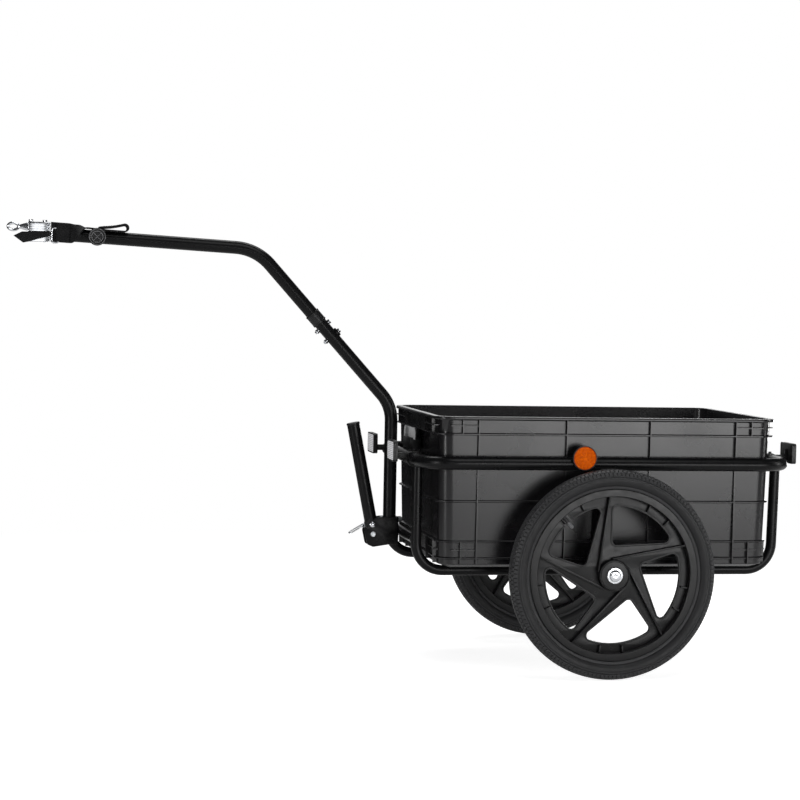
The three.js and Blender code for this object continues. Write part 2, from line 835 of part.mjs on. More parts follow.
function boxStop() {
  const wall = boxCentre - wallAt(stopFoot)[0] - boxRibReach - fit;
  const front = ringFront + stopBlockFront;
  const body = block(
    vector(front, -stopBlockHalfWidth, ringTop + fit),
    vector(wall, stopBlockHalfWidth, stopFoot + stopThickness),
  );
  const outline = [
    [-stopHalfWidth, stopFoot], [stopHalfWidth, stopFoot], [stopHalfWidth, stopHead - stopChamfer],
    [stopHalfWidth - stopChamfer, stopHead], [stopChamfer - stopHalfWidth, stopHead],
    [-stopHalfWidth, stopHead - stopChamfer],
  ];
  const plateFront = front + stopBlockFront;
  const plate = platePiece(outline, plateFront, plateFront + stopThickness).rotateZ(-Math.PI / 2);
  return join(body, plate);
}

place('box_stop', boxStop(), greyPlastic());

// Fasteners
function hexBolt(grip, head, tail) {
  const body = rod(vector(0, 0, -tail), vector(0, 0, grip + head / 2), boltRadius);
  const cap = rod(vector(0, 0, grip), vector(0, 0, grip + head), boltHead, 6);
  return join(body, cap);
}

function hexNut(height, width, bore) {
  const body = rod(vector(0, 0, 0), vector(0, 0, height), width, 6);
  return cut(body, rod(vector(0, 0, -overrun), vector(0, 0, height + overrun), bore + fit));
}

// Drawbar
const slopeStart = vector(drawbarX, 0, drawbarKneeHeight);
const shoulder = vector(drawbarShoulderX, 0, drawbarShoulderZ);
const barEnd = vector(drawbarEndX, 0, drawbarEndZ);
const slope = shoulder.clone().sub(slopeStart).normalize();
const joint = slopeStart.clone().addScaledVector(slope, jointReach);
const acrossSlope = vector(slope.z, 0, -slope.x);
const barDirection = barEnd.clone().sub(shoulder).normalize();
const alongJoint = (distance) => joint.clone().addScaledVector(slope, -distance);
const boltPlaces = [jointBoltPlace, jointBoltPlace + jointBoltPitch];

function jointHoles() {
  return boltPlaces.map((distance) => {
    const centre = alongJoint(distance);
    const reach = drawbarRadius + overrun;
    return rod(centre.clone().addScaledVector(acrossSlope, -reach),
      centre.clone().addScaledVector(acrossSlope, reach), boltRadius + fit, holeSides);
  });
}

function lowerBar() {
  const corners = [vector(drawbarX, 0, drawbarFoot), slopeStart, joint];
  const path = bent(corners, drawbarKneeBend, cornerSteps);
  const longCorners = [
    corners[0].clone().addScaledVector(alongZ, -overrun), slopeStart,
    joint.clone().addScaledVector(slope, overrun),
  ];
  const bore = pipe(bent(longCorners, drawbarKneeBend, cornerSteps), alongY, drawbarBore / 2, tubeSides);
  const bump = rod(
    alongJoint(boltPlaces[1]).addScaledVector(acrossSlope, drawbarRadius / 2),
    alongJoint(boltPlaces[1]).addScaledVector(acrossSlope, drawbarRadius + saddleBumpHeight),
    saddleBumpWidth,
  );
  const anchor = rod(
    vector(drawbarX - drawbarTube, 0, anchorHeight), vector(drawbarX + drawbarTube, 0, anchorHeight),
    anchorRadius + fit,
  );
  const outside = join(pipe(path, alongY, drawbarRadius, tubeSides), bump);
  const bumpHole = rod(alongJoint(boltPlaces[1]),
    alongJoint(boltPlaces[1]).addScaledVector(acrossSlope, drawbarTube), boltRadius + fit, holeSides);
  return cut(outside, bore, anchor, bumpHole, ...jointHoles());
}

function upperBar() {
  const start = joint.clone().addScaledVector(slope, fit);
  const body = pipe(bent([start, shoulder, barEnd], drawbarShoulderBend, cornerSteps + 2),
    alongY, drawbarRadius, tubeSides);
  const spigot = pipe([alongJoint(spigotLength), joint.clone().addScaledVector(slope, collarLength)],
    alongY, drawbarBore / 2 - fit, tubeSides);
  const bore = pipe(bent([alongJoint(spigotLength + overrun), shoulder,
    barEnd.clone().addScaledVector(barDirection, -drawbarTube)], drawbarShoulderBend, cornerSteps + 2),
  alongY, spigotBore / 2, boltSides / 2 + 2);
  const tonguePart = (front, rear, half) => block(
    vector(front, -half, drawbarEndZ - tongueThickness / 2),
    vector(rear, half, drawbarEndZ + tongueThickness / 2),
  );
  const tongue = tonguePart(drawbarEndX - tongueLength, drawbarEndX - clampSetback, tongueWidth / 2);
  const root = tonguePart(drawbarEndX - tongueLength / 2, drawbarEndX + tongueRoot, drawbarRadius * 0.8);
  const bolts = clampPlaces().map(([x, y]) => rod(
    vector(x, y, drawbarEndZ - tongueThickness), vector(x, y, drawbarEndZ + tongueThickness),
    boltRadius + fit, holeSides));
  const stud = rod(vector(knobX, -drawbarTube, knobZ()), vector(knobX, 0, knobZ()), knobStud + fit, 8);
  return cut(join(body, spigot, tongue, root), bore, stud, ...bolts, ...jointHoles());
}

function barZ(x) {
  return drawbarShoulderZ + (drawbarEndZ - drawbarShoulderZ) * (x - drawbarShoulderX)
    / (drawbarEndX - drawbarShoulderX);
}

function knobZ() {
  return barZ(knobX);
}

function clampPlaces() {
  const front = drawbarEndX - tongueLength;
  return [[front + clampFront, -clampOffset], [front + clampRear, clampOffset]];
}

function collar() {
  const sleeve = (half, radius) => pipe([alongJoint(half), alongJoint(-half)], alongY, radius, tubeSides);
  const inner = drawbarRadius + fit;
  return cut(sleeve(collarLength / 2, inner + collarWall), sleeve(collarLength, inner));
}

place('drawbar_lower', lowerBar(), framePaint());
place('drawbar_upper', upperBar(), framePaint());
place('joint_collar', collar(), blackPlastic());
boltPlaces.forEach((distance, i) => {
  const lift = drawbarRadius + (i ? saddleBumpHeight : 0) + fit;
  const nutSeat = -drawbarRadius - fit - boltHeight;
  const spot = new THREE.Group();
  spot.position.copy(alongJoint(distance));
  spot.quaternion.setFromUnitVectors(alongZ, acrossSlope);
  trailer.add(spot);
  const bolt = hexBolt(lift, boltHeight, -nutSeat + boltTail);
  place(`joint_bolt_${i + 1}`, bolt, chrome(), spot);
  place(`joint_nut_${i + 1}`, hexNut(boltHeight, boltHead, boltRadius), chrome(), spot).position.z = nutSeat;
});

// Stand bracket, a folded channel with two cheeks
const cheekInner = drawbarRadius + fit;
const cheekOuter = cheekInner + bracketGauge;

function standBracket() {
  const outline = [
    [webRear, webHead], [bracketBrowX + bracketGauge * 4, webHead], [bracketBrowX, bracketBrowZ],
    [bracketNoseX, bracketNoseZ], [bracketNoseX + bracketGauge * 2, webFoot],
    [bracketNoseX + bracketGauge * 6, bracketChin], [drawbarX, webFoot],
    [webRear, webFoot + bracketGauge * 3],
  ];
  const cheek = platePiece(outline, cheekInner, cheekOuter);
  const studTip = cheekOuter + studHeight;
  const stud = rod(vector(studX, cheekInner + fit, studZ), vector(studX, studTip, studZ), studRadius);
  const web = block(
    vector(webFront, -cheekOuter, webFoot + bracketGauge * 3), vector(webRear, cheekOuter, webHead),
  );
  const pivotHole = rod(
    vector(pivotX, -drawbarTube, pivotZ), vector(pivotX, drawbarTube, pivotZ), pivotRadius + fit,
  );
  const anchorHole = rod(
    vector(drawbarX, 0, anchorHeight), vector(ringFront, 0, anchorHeight), anchorRadius + fit,
  );
  return cut(join(cheek, mirrored(cheek), stud, mirrored(stud), web), pivotHole, anchorHole);
}

function anchorBolt() {
  const headSeat = drawbarX - drawbarRadius - fit;
  const tip = webRear + fit + anchorNutHeight + boltTail;
  const at = (x) => vector(x, 0, anchorHeight);
  return join(
    rod(at(headSeat - anchorHeadHeight / 2), at(tip), anchorRadius),
    rod(at(headSeat - anchorHeadHeight), at(headSeat), anchorHead, 6),
  );
}

function anchorNut() {
  return hexNut(anchorNutHeight, anchorHead, anchorRadius).rotateY(Math.PI / 2)
    .translate(webRear + fit, 0, anchorHeight);
}

function pivotRivet() {
  const seat = cheekOuter + fit;
  const crown = seat + rivetHeight;
  const half = [
    [0, crown], [rivetHead * 0.6, crown - rivetHeight * 0.15],
    [rivetHead, seat + rivetHeight * 0.3], [rivetHead, seat], [pivotRadius, seat],
  ];
  const other = half.map(([radius, y]) => [radius, -y]).reverse();
  return turned([...half, ...other], boltSides).translate(pivotX, 0, pivotZ);
}

place('stand_bracket', standBracket(), framePaint());
place('anchor_bolt', anchorBolt(), zinc());
place('anchor_nut', anchorNut(), zinc());
place('pivot_rivet', pivotRivet(), chrome());

// Stand leg, stowed: its own frame has the pivot at the origin and the leg along +Z
const stand = new THREE.Group();
stand.position.set(pivotX, 0, pivotZ);
stand.rotation.y = -THREE.MathUtils.degToRad(legLean);
trailer.add(stand);
const legRadius = legTube / 2;

function standLeg() {
  const shaft = rod(vector(0, 0, 0), vector(0, 0, legLength), legRadius, tubeSides + 2);
  const tipBall = rod(vector(0, -legRadius, 0), vector(0, legRadius, 0), legRadius, tubeSides + 2);
  const cheekGap = [-1, 1].map((side) => block(
    vector(-legTube, side * legRadius - (side < 0 ? legTube : 0), -legTube),
    vector(legTube, side * legRadius + (side < 0 ? 0 : legTube), legTube),
  ));
  const bore = rod(vector(0, 0, legSolid), vector(0, 0, legLength + overrun), legRadius - legWall, tubeSides);
  const pivot = rod(vector(0, -legTube, 0), vector(0, legTube, 0), pivotRadius + fit);
  const pinHole = rod(vector(-legTube, 0, 0), vector(pinDepth - legRadius + fit, 0, 0), pinRadius + fit, 8);
  return cut(join(shaft, tipBall), bore, pivot, pinHole, ...cheekGap);
}

function footCap() {
  const bore = legRadius - legWall - fit;
  const outer = legRadius + footCapWall / 2;
  return turned([
    [0, -footPlugLength], [bore, -footPlugLength], [bore, fit], [outer, fit],
    [outer, footCapHeight * 0.7], [outer - footCapWall, footCapHeight], [0, footCapHeight],
  ], tubeSides).rotateX(Math.PI / 2).translate(0, 0, legLength);
}

function pullPin() {
  const face = -legRadius - fit;
  const tip = face - pinHeadLength;
  const head = rod(vector(tip, 0, 0), vector(face, 0, 0), pinHeadRadius, boltSides);
  const shank = rod(vector(face - fit, 0, 0), vector(pinDepth - legRadius, 0, 0), pinRadius, 8);
  const eyeX = tip + pinEyeRadius + loopWire / 2;
  const eye = rod(vector(eyeX, -legTube, 0), vector(eyeX, legTube, 0), pinEyeRadius, 8);
  return cut(join(head, shank), eye);
}

function pullLoop() {
  const [x, y, r] = [loopLength / 2, loopWidth / 2, loopWidth / 4];
  const path = bent([vector(0, -y, 0), vector(2 * x, -y, 0), vector(2 * x, y, 0), vector(0, y, 0)],
    r, 3, true);
  return pipe(path, alongZ, loopWire / 2, 6, true);
}

place('stand_leg', standLeg(), framePaint(), stand);
place('foot_cap', footCap(), blackPlastic(), stand);
place('pull_pin', pullPin(), zinc(), stand);
const loopMesh = place('pull_loop', pullLoop(), zinc(), stand);
loopMesh.position.x = -legRadius - fit - pinHeadLength + pinEyeRadius + loopWire / 2;
loopMesh.rotation.y = Math.PI - THREE.MathUtils.degToRad(loopDrop - legLean);

// Hitch: the flattened end of the bar is held between a saddle and a keeper
const tongueFront = drawbarEndX - tongueLength;
const tongueTop = drawbarEndZ + tongueThickness / 2;
const tongueFoot = drawbarEndZ - tongueThickness / 2;
const saddleFoot = tongueTop + fit;
const saddleTop = saddleFoot + saddleHeight;
const eyeHeight = saddleFoot + saddleHeight / 2;

function clampHoles(low, high) {
  return clampPlaces().map(([x, y]) => rod(
    vector(x, y, low - overrun), vector(x, y, high + overrun), boltRadius + fit, holeSides));
}

function hitchSaddle() {
  const half = tongueWidth / 2;
  const rear = drawbarEndX - clampSetback;
  const body = block(vector(tongueFront, -half, saddleFoot), vector(rear, half, saddleTop));
  const grooves = [0.25, 0.5, 0.75].flatMap((share) => [-1, 1].map((side) => {
    const z = saddleFoot + saddleHeight * share;
    return block(
      vector(tongueFront - overrun, side * half - saddleRib, z - saddleRib),
      vector(drawbarEndX + overrun, side * half + saddleRib, z + saddleRib),
    );
  }));
  const bore = rod(vector(tongueFront - overrun, 0, eyeHeight),
    vector(tongueFront + eyeShankLength, 0, eyeHeight), eyeShankRadius + fit);
  return cut(body, bore, ...grooves, ...clampHoles(saddleFoot, saddleTop));
}

function hitchKeeper() {
  const half = tongueWidth / 2;
  const top = tongueFoot - fit;
  const foot = top - keeperHeight - keeperFlange;
  const body = block(vector(tongueFront, -half, foot), vector(drawbarEndX - clampSetback, half, top));
  const channel = block(
    vector(tongueFront - overrun, keeperWall - half, foot - overrun),
    vector(drawbarEndX + overrun, half - keeperWall, foot + keeperFlange),
  );
  return cut(body, channel, ...clampHoles(foot, top));
}

function hitchEye() {
  const half = eyeThickness / 2;
  const centre = tongueFront - eyeReach;
  const ring = rod(vector(0, -half, 0), vector(0, half, 0), eyeRadius, roundSides)
    .scale(1, 1, eyeOvalShare).translate(centre, 0, eyeHeight);
  const hole = rod(vector(0, -legTube, 0), vector(0, legTube, 0), eyeHole, boltSides)
    .scale(1, 1, eyeOvalShare).translate(centre, 0, eyeHeight);
  const neckReach = eyeNeckLength + half;
  const neck = turned([[0, 0], [eyeNeckRadius, 0], [half * 0.9, neckReach], [0, neckReach]], boltSides)
    .rotateZ(Math.PI / 2).translate(tongueFront - fit, 0, eyeHeight);
  const shank = rod(vector(tongueFront - eyeNeckLength / 2, 0, eyeHeight),
    vector(tongueFront + eyeShankLength - fit, 0, eyeHeight), eyeShankRadius);
  return cut(join(ring, neck, shank), hole);
}

place('hitch_saddle', hitchSaddle(), chrome());
place('hitch_keeper', hitchKeeper(), chrome());
place('hitch_eye', hitchEye(), chrome());
clampPlaces().forEach(([x, y], i) => {
  const seat = tongueFoot - fit - keeperHeight - fit;
  const grip = saddleTop + fit - seat;
  const bolt = place(`hitch_bolt_${i + 1}`, hexBolt(grip, boltHeight, boltHeight + clampTail), chrome());
  bolt.position.set(x, y, seat);
  const nut = place(`hitch_nut_${i + 1}`, hexNut(boltHeight, boltHead, boltRadius), chrome());
  nut.position.set(x, y, seat - boltHeight);
});

// Safety strap: flat on the near side of the bar, twisting to lie on top, with a curled end
const strapStand = drawbarRadius + fit + webbing / 2;

function strapStations() {
  const stations = [];
  const lay = (x, share) => {
    const lean = share * Math.PI / 2;
    const out = vector(0, -Math.cos(lean), Math.sin(lean));
    const across = vector(0, Math.sin(lean), Math.cos(lean));
    const stand = strapStand + strapBulge * Math.sin(share * Math.PI);
    stations.push({ centre: vector(x, 0, barZ(x)).addScaledVector(out, stand), across, out });
  };
  lay(strapFront, 0);
  for (let i = 0; i <= 8; i += 1) {
    const share = i / 8;
    const eased = share * share * (3 - 2 * share);
    lay(THREE.MathUtils.lerp(strapTurnStart, strapTurnEnd, share), eased);
  }
  lay(strapCurl, 1);
  const hub = vector(strapCurl, 0, barZ(strapCurl) + strapStand + strapCurlRadius);
  for (let i = 1; i <= 6; i += 1) {
    const angle = -Math.PI / 2 + i * Math.PI * 1.06 / 6;
    const out = vector(-Math.cos(angle), 0, -Math.sin(angle));
    stations.push({ centre: hub.clone().addScaledVector(out, -strapCurlRadius), across: alongY, out });
  }
  const last = stations[stations.length - 1];
  const tip = vector(strapTip, 0, barZ(strapTip) + strapStand + webbing + tailGap * 2);
  const heading = tip.clone().sub(last.centre).normalize();
  const away = vector(-heading.z, 0, heading.x);
  const out = away.clone().multiplyScalar(Math.sign(last.out.dot(away)));
  stations.push({ centre: tip, across: alongY, out });
  return stations;
}

function band(stations, width, thickness) {
  return skin(stations.map(({ centre, across, out }) => (
    [[-1, -1], [1, -1], [1, 1], [-1, 1]].map(([a, b]) => centre.clone()
      .addScaledVector(across, a * width / 2).addScaledVector(out, b * thickness / 2))
  )));
}

function buckle() {
  const y = -strapStand - webbing / 2 - fit - buckleWire / 2;
  const rear = buckleX + buckleReach;
  const path = bent([
    vector(buckleX, y, buckleFoot), vector(rear, y, buckleFoot),
    vector(rear, y, buckleHead), vector(buckleX, y, buckleHead),
  ], buckleWire, 2, true);
  return pipe(path, alongY, buckleWire / 2, 6, true);
}

function strapTail() {
  const inner = -tongueWidth / 2 - fit - tailGap;
  const rear = drawbarEndX - buckleWire;
  const top = tongueTop - fit;
  const depth = webbing * 1.4;
  const low = tongueFoot - keeperHeight;
  const front = tongueFront - eyeReach;
  const outline = [
    [rear, top], [tongueFront - eyeNeckLength, top], [front, (top + low) / 2 + webbing],
    [tongueFront - eyeNeckLength * 0.8, low - keeperFlange], [tongueFront, low],
    [tongueFront + clampRear / 2, low + webbing * 2], [rear, tongueFoot],
  ];
  return platePiece(outline, inner - depth, inner);
}

function knob() {
  const base = -drawbarRadius;
  const disc = -strapWidth / 2 - fit - tailGap;
  const face = disc - knobWidth;
  return turned([
    [0, base + knobStudLength], [knobStud, base + knobStudLength], [knobStud, base - fit],
    [knobNeck, base - fit], [knobNeck, disc], [knobRadius, disc], [knobRadius, face + knobRing],
    [knobRadius - knobRing, face], [knobRadius - 3 * knobRing, face],
    [knobRadius - 3 * knobRing, face + knobRing / 2], [0, face + knobRing / 2],
  ], roundSides + 2).translate(knobX, 0, knobZ());
}

place('safety_strap', band(strapStations(), strapWidth, webbing), webbingCloth());
place('strap_buckle', buckle(), chrome());
place('strap_tail', strapTail(), webbingCloth());
place('bar_knob', knob(), blackPlastic());

// Plate reflectors on arms, drawn facing forward from the ring at the origin
function roundedOutline(width, height, corner) {
  const [x, z] = [width / 2 - corner, height / 2 - corner];
  return [[1, 1], [-1, 1], [-1, -1], [1, -1]].flatMap(([signX, signZ], quarter) => (
    arc(signX * x, signZ * z, corner, quarter * Math.PI / 2, (quarter + 1) * Math.PI / 2, 2)
  ));
}

function plateHousing(reach) {
  const face = ringRadius + reach;
  const back = face - plateDepth;
  const lift = plateCentre - ringHeight;
  const outline = roundedOutline(plateWidth, plateHeight, plateCorner);
  const shell = platePiece(outline, back, face).translate(0, 0, lift);
  const recess = platePiece(
    roundedOutline(plateWidth - 2 * lensInset, plateHeight - 2 * lensInset, plateCorner),
    face - lensDepth - fit, face + overrun,
  ).translate(0, 0, lift);
  const arm = block(vector(-armWidth / 2, 0, 0), vector(armWidth / 2, back + fit, armHeight));
  const bandOuter = ringRadius + fit + clampBand;
  const clamp = rod(vector(-clampWidth / 2, 0, 0), vector(clampWidth / 2, 0, 0), bandOuter, tubeSides);
  const seat = rod(vector(-armWidth, 0, 0), vector(armWidth, 0, 0), ringRadius + fit, tubeSides);
  const slot = block(vector(-armWidth, -bandOuter * 2, -bandOuter), vector(armWidth, 0, bandOuter / 4));
  return cut(join(shell, arm, clamp), recess, seat, slot);
}

function plateLens(reach) {
  const face = ringRadius + reach;
  const inset = 2 * (lensInset + fit);
  return platePiece(
    roundedOutline(plateWidth - inset, plateHeight - inset, plateCorner - fit), face - lensDepth, face,
  ).translate(0, 0, plateCentre - ringHeight);
}

[
  ['front_left', ringFront, -plateSpread, Math.PI / 2, plateReachFront, clearLens],
  ['front_right', ringFront, plateSpread, Math.PI / 2, plateReachFront, clearLens],
  ['rear_left', ringRear, -plateSpread, -Math.PI / 2, plateReachRear, redLens],
  ['rear_right', ringRear, plateSpread, -Math.PI / 2, plateReachRear, redLens],
].forEach(([label, x, y, turn, reach, lens]) => {
  const spot = new THREE.Group();
  spot.position.set(x, y, ringHeight);
  spot.rotation.z = turn;
  trailer.add(spot);
  place(`reflector_holder_${label}`, plateHousing(reach), blackPlastic(), spot);
  place(`reflector_lens_${label}`, plateLens(reach), lens(), spot);
});

// Round side reflectors, each clipped on the side rail
function sideReflector() {
  const inner = ringHalfWidth + ringRadius + fit;
  const face = inner + discDepth;
  const disc = turned([
    [0, inner], [discRadius, inner], [discRadius, face], [discRadius - discLip, face],
    [discRadius - discLip, face - discLip / 2], [0, face - discLip / 2],
  ], roundSides + 8).translate(discX, 0, discHeight);
  const clip = block(
    vector(discX - discClip / 2, ringHalfWidth + clampBand, ringHeight),
    vector(discX + discClip / 2, inner + discLip, ringTop + discLip * 2),
  );
  return cut(join(disc, clip), ringSeat);
}

place('side_reflector_left', mirrored(sideReflector()), amberLens());
place('side_reflector_right', sideReflector(), amberLens());

// The ground is where the tyres' flats stand, and the middle is that of the whole length
const extent = new THREE.Box3().setFromObject(trailer, true);
trailer.position.x = -(extent.min.x + extent.max.x) / 2;
trailer.position.z = -extent.min.z;

export default trailer;
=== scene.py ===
# %% [markdown]
# # A cargo trailer for a bicycle, dressed for the camera
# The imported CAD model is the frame: it says where each part is and how it moves.
# This script builds the part that the eye sees around it, piece by piece.
# Sizes are in millimetres, measured from the axle: X rearward, Y to the right, Z up from the ground.
# One function, finish, turns them into metres in the CAD model's frame at the end of each piece.

# %% Open the frame
import bpy
import bmesh
import math
from mathutils import Matrix, Vector


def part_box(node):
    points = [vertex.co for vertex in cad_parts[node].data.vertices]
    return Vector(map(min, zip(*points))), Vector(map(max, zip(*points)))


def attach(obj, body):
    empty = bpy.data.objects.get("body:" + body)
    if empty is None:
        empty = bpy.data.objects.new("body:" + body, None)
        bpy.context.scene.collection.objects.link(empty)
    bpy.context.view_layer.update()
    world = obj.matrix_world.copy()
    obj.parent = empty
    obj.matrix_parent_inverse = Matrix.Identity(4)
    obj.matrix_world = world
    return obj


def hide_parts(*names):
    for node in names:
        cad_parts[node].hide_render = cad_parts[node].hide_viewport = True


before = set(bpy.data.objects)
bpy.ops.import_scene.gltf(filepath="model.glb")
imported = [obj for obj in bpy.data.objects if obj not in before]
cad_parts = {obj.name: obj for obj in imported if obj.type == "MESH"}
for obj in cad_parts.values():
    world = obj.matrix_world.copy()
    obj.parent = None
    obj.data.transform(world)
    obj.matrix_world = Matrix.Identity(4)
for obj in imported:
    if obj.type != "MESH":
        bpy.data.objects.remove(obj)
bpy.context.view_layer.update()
metre = 1000
tyre_low, tyre_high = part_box("tyre_left")
axle_x = (tyre_low.x + tyre_high.x) / 2
to_frame = Matrix.Translation((axle_x, 0, 0)) @ Matrix.Scale(1 / metre, 4)
print("axle at x =", round(axle_x, 5), "m")

# %% [markdown]
# ## Bent tubes
# Most of the trailer is bent steel tube. A tube could be swept by hand or extruded ring by ring.
# Here it is a curve with a round bevel, drawn as a tube bender works: straight, arc, straight.
# The curve is turned into a bmesh at once, so every shape below is one and can be joined to the next.

# %% Bent tubes
def bend(corners, radius, steps=12, closed=False):
    """Points along straight runs, with an arc of the given radius at each corner."""
    points = []
    count = len(corners)
    for i, corner in enumerate(map(Vector, corners)):
        if not closed and i in (0, count - 1):
            points.append(corner)
            continue
        back = (Vector(corners[i - 1]) - corner).normalized()
        ahead = (Vector(corners[(i + 1) % count]) - corner).normalized()
        turn = math.pi - back.angle(ahead)
        centre = corner + (back + ahead).normalized() * radius / math.cos(turn / 2)
        spoke = corner + back * radius * math.tan(turn / 2) - centre
        axis = ahead.cross(back).normalized()
        for step in range(steps + 1):
            points.append(centre + Matrix.Rotation(turn * step / steps, 3, axis) @ spoke)
    return points


def from_curve(curve):
    """The mesh that a curve's own settings give, as a bmesh."""
    carrier = bpy.data.objects.new("curve", curve)
    bpy.context.scene.collection.objects.link(carrier)
    evaluated = carrier.evaluated_get(bpy.context.evaluated_depsgraph_get())
    mesh = bpy.data.meshes.new_from_object(evaluated)
    shape = bmesh.new()
    shape.from_mesh(mesh)
    bpy.data.objects.remove(carrier)
    bpy.data.curves.remove(curve)
    bpy.data.meshes.remove(mesh)
    return shape


def tube(points, radius, closed=False, detail=7):
    """A solid rod along the points, or a ring when closed."""
    curve = bpy.data.curves.new("tube", "CURVE")
    curve.dimensions = "3D"
    curve.bevel_depth = radius
    curve.bevel_resolution = detail
    curve.use_fill_caps = not closed
    spline = curve.splines.new("POLY")
    spline.points.add(len(points) - 1)
    for knot, point in zip(spline.points, points):
        knot.co = (*point, 1)
    spline.use_cyclic_u = closed
    return from_curve(curve)


# %% [markdown]
# ## Plates
# A stamped or moulded plate has an outline, sometimes holes, and a small round on its edges.
# Extruding a face would leave the holes to be cut, so it is a filled flat curve instead.

# %% Plates
def plate(outlines, thickness, edge=0.4):
    """A plate in the XY plane, centred on Z = 0. The first outline is its edge, the others are holes."""
    curve = bpy.data.curves.new("plate", "CURVE")
    curve.dimensions = "2D"
    curve.fill_mode = "BOTH"
    curve.extrude = thickness / 2 - edge
    curve.bevel_depth = edge
    curve.bevel_resolution = 2
    curve.offset = -edge
    for outline in outlines:
        spline = curve.splines.new("POLY")
        spline.points.add(len(outline) - 1)
        for knot, (x, y) in zip(spline.points, outline):
            knot.co = (x, y, 0, 1)
        spline.use_cyclic_u = True
    return from_curve(curve)


# %% [markdown]
# ## Turned pieces, blocks and places
# Caps, bolts, tyres and bearings are round, so half an outline is spun about the axle's direction.
# Small blocks start as a cube that is stretched between two corners and has its edges rounded.
# A matrix then puts each shape in its place, and several shapes can be joined into one.

# %% Turned pieces, blocks and places
same_place = 0.0005


def turned(profile, steps=64, closed=False):
    """A body turned about Y from (radius, place) points."""
    shape = bmesh.new()
    knots = [shape.verts.new((radius, place, 0)) for radius, place in profile]
    edges = [shape.edges.new(pair) for pair in zip(knots, knots[1:])]
    if closed:
        edges.append(shape.edges.new((knots[-1], knots[0])))
    bmesh.ops.spin(shape, geom=knots + edges, cent=(0, 0, 0), axis=(0, 1, 0), angle=2 * math.pi,
                   steps=steps, use_merge=True)
    bmesh.ops.remove_doubles(shape, verts=shape.verts, dist=same_place)
    return shape


def mirrored_profile(half):
    """A profile and its mirror image across the middle of the axle, as one closed outline."""
    return half + [(radius, -place) for radius, place in reversed(half)]


def block(low, high, edge, rounds=2):
    """A block between two corners with its edges rounded."""
    low, high = Vector(low), Vector(high)
    shape = bmesh.new()
    bmesh.ops.create_cube(shape, size=1)
    bmesh.ops.scale(shape, vec=high - low, verts=shape.verts)
    bmesh.ops.translate(shape, vec=(low + high) / 2, verts=shape.verts)
    bmesh.ops.bevel(shape, geom=shape.edges[:], offset=edge, segments=rounds, affect="EDGES",
                    profile=0.5, material=-1)
    return shape


def moved(shape, matrix):
    """The same shape, put where a matrix says."""
    bmesh.ops.transform(shape, matrix=matrix, verts=shape.verts)
    return shape


def merged(parts):
    """Several shapes as one."""
    whole = bmesh.new()
    for part in parts:
        mesh = bpy.data.meshes.new("part")
        part.to_mesh(mesh)
        part.free()
        whole.from_mesh(mesh)
        bpy.data.meshes.remove(mesh)
    return whole


def shift(x, y, z):
    """The matrix of a plain move."""
    return Matrix.Translation((x, y, z))


def turn_about(axis, degrees):
    """The matrix of a plain turn."""
    return Matrix.Rotation(math.radians(degrees), 4, axis)


# Upright swaps Y and Z: a flat plate then stands and faces Y, and a turned piece stands on end.
upright = Matrix(((1, 0, 0, 0), (0, 0, 1, 0), (0, 1, 0, 0), (0, 0, 0, 1)))
# Facing forward takes a plate's own X and Y as the trailer's Y and Z, so the plate faces along X.
facing_forward = Matrix(((0, 0, 1, 0), (1, 0, 0, 0), (0, 1, 0, 0), (0, 0, 0, 1)))

# %% [markdown]
# ## Finishing a piece
# Each piece gets its place in the mesh, so its object stays at the origin with no turn or scale.
# Doubles are merged before the normals are made to point outwards, because spin and mirror turn some round.
# The piece rides on the CAD body it belongs to, stands for the CAD nodes it hides, and gets its finish.

# %% Finish a piece
made = []


def finish(name, shape, finish_name, body="frame", stands_for=(), angle=32):
    """Make a shape in millimetres a piece of the trailer, and print what it has."""
    bmesh.ops.remove_doubles(shape, verts=shape.verts, dist=same_place)
    bmesh.ops.recalc_face_normals(shape, faces=shape.faces)
    bmesh.ops.transform(shape, matrix=to_frame, verts=shape.verts)
    mesh = bpy.data.meshes.new(name)
    shape.to_mesh(mesh)
    shape.free()
    mesh.shade_smooth()
    mesh.set_sharp_from_angle(angle=math.radians(angle))
    piece = bpy.data.objects.new(name, mesh)
    bpy.context.scene.collection.objects.link(piece)
    mesh.materials.append(finishes[finish_name])
    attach(piece, body)
    if stands_for:
        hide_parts(*stands_for)
    made.append(piece)
    print(f"piece {name}: {len(mesh.polygons)} faces, {finish_name}, rides on {body}")
    return piece


# %% [markdown]
# ## Materials
# Each finish is a small node tree. Its pattern is measured in millimetres on the real thing.
# The noise is read in object coordinates, so it stays on the piece in every view.
# One function adds any node with its settings, its fixed inputs, what feeds it and what it feeds.

# %% Node and colour helpers
def colour(code):
    """A screen colour such as 1b1b1c as linear light."""
    parts = [int(code[i:i + 2], 16) / 255 for i in (0, 2, 4)]
    return (*[v / 12.92 if v <= 0.04045 else ((v + 0.055) / 1.055) ** 2.4 for v in parts], 1)


def add(tree, kind, settings=None, values=None, links=None, into=None):
    """One node. Links name what feeds its inputs, and into names the sockets that its outputs feed."""
    node = tree.nodes.new(kind)
    for key, value in (settings or {}).items():
        setattr(node, key, value)
    for key, value in (values or {}).items():
        node.inputs[key].default_value = value
    for key, source in (links or {}).items():
        tree.links.new(source, node.inputs[key])
    for key, target in (into or {}).items():
        tree.links.new(node.outputs[key], target)
    return node


def grain(size):
    """The noise scale for a pattern of this size in millimetres."""
    return metre / size


finishes = {}


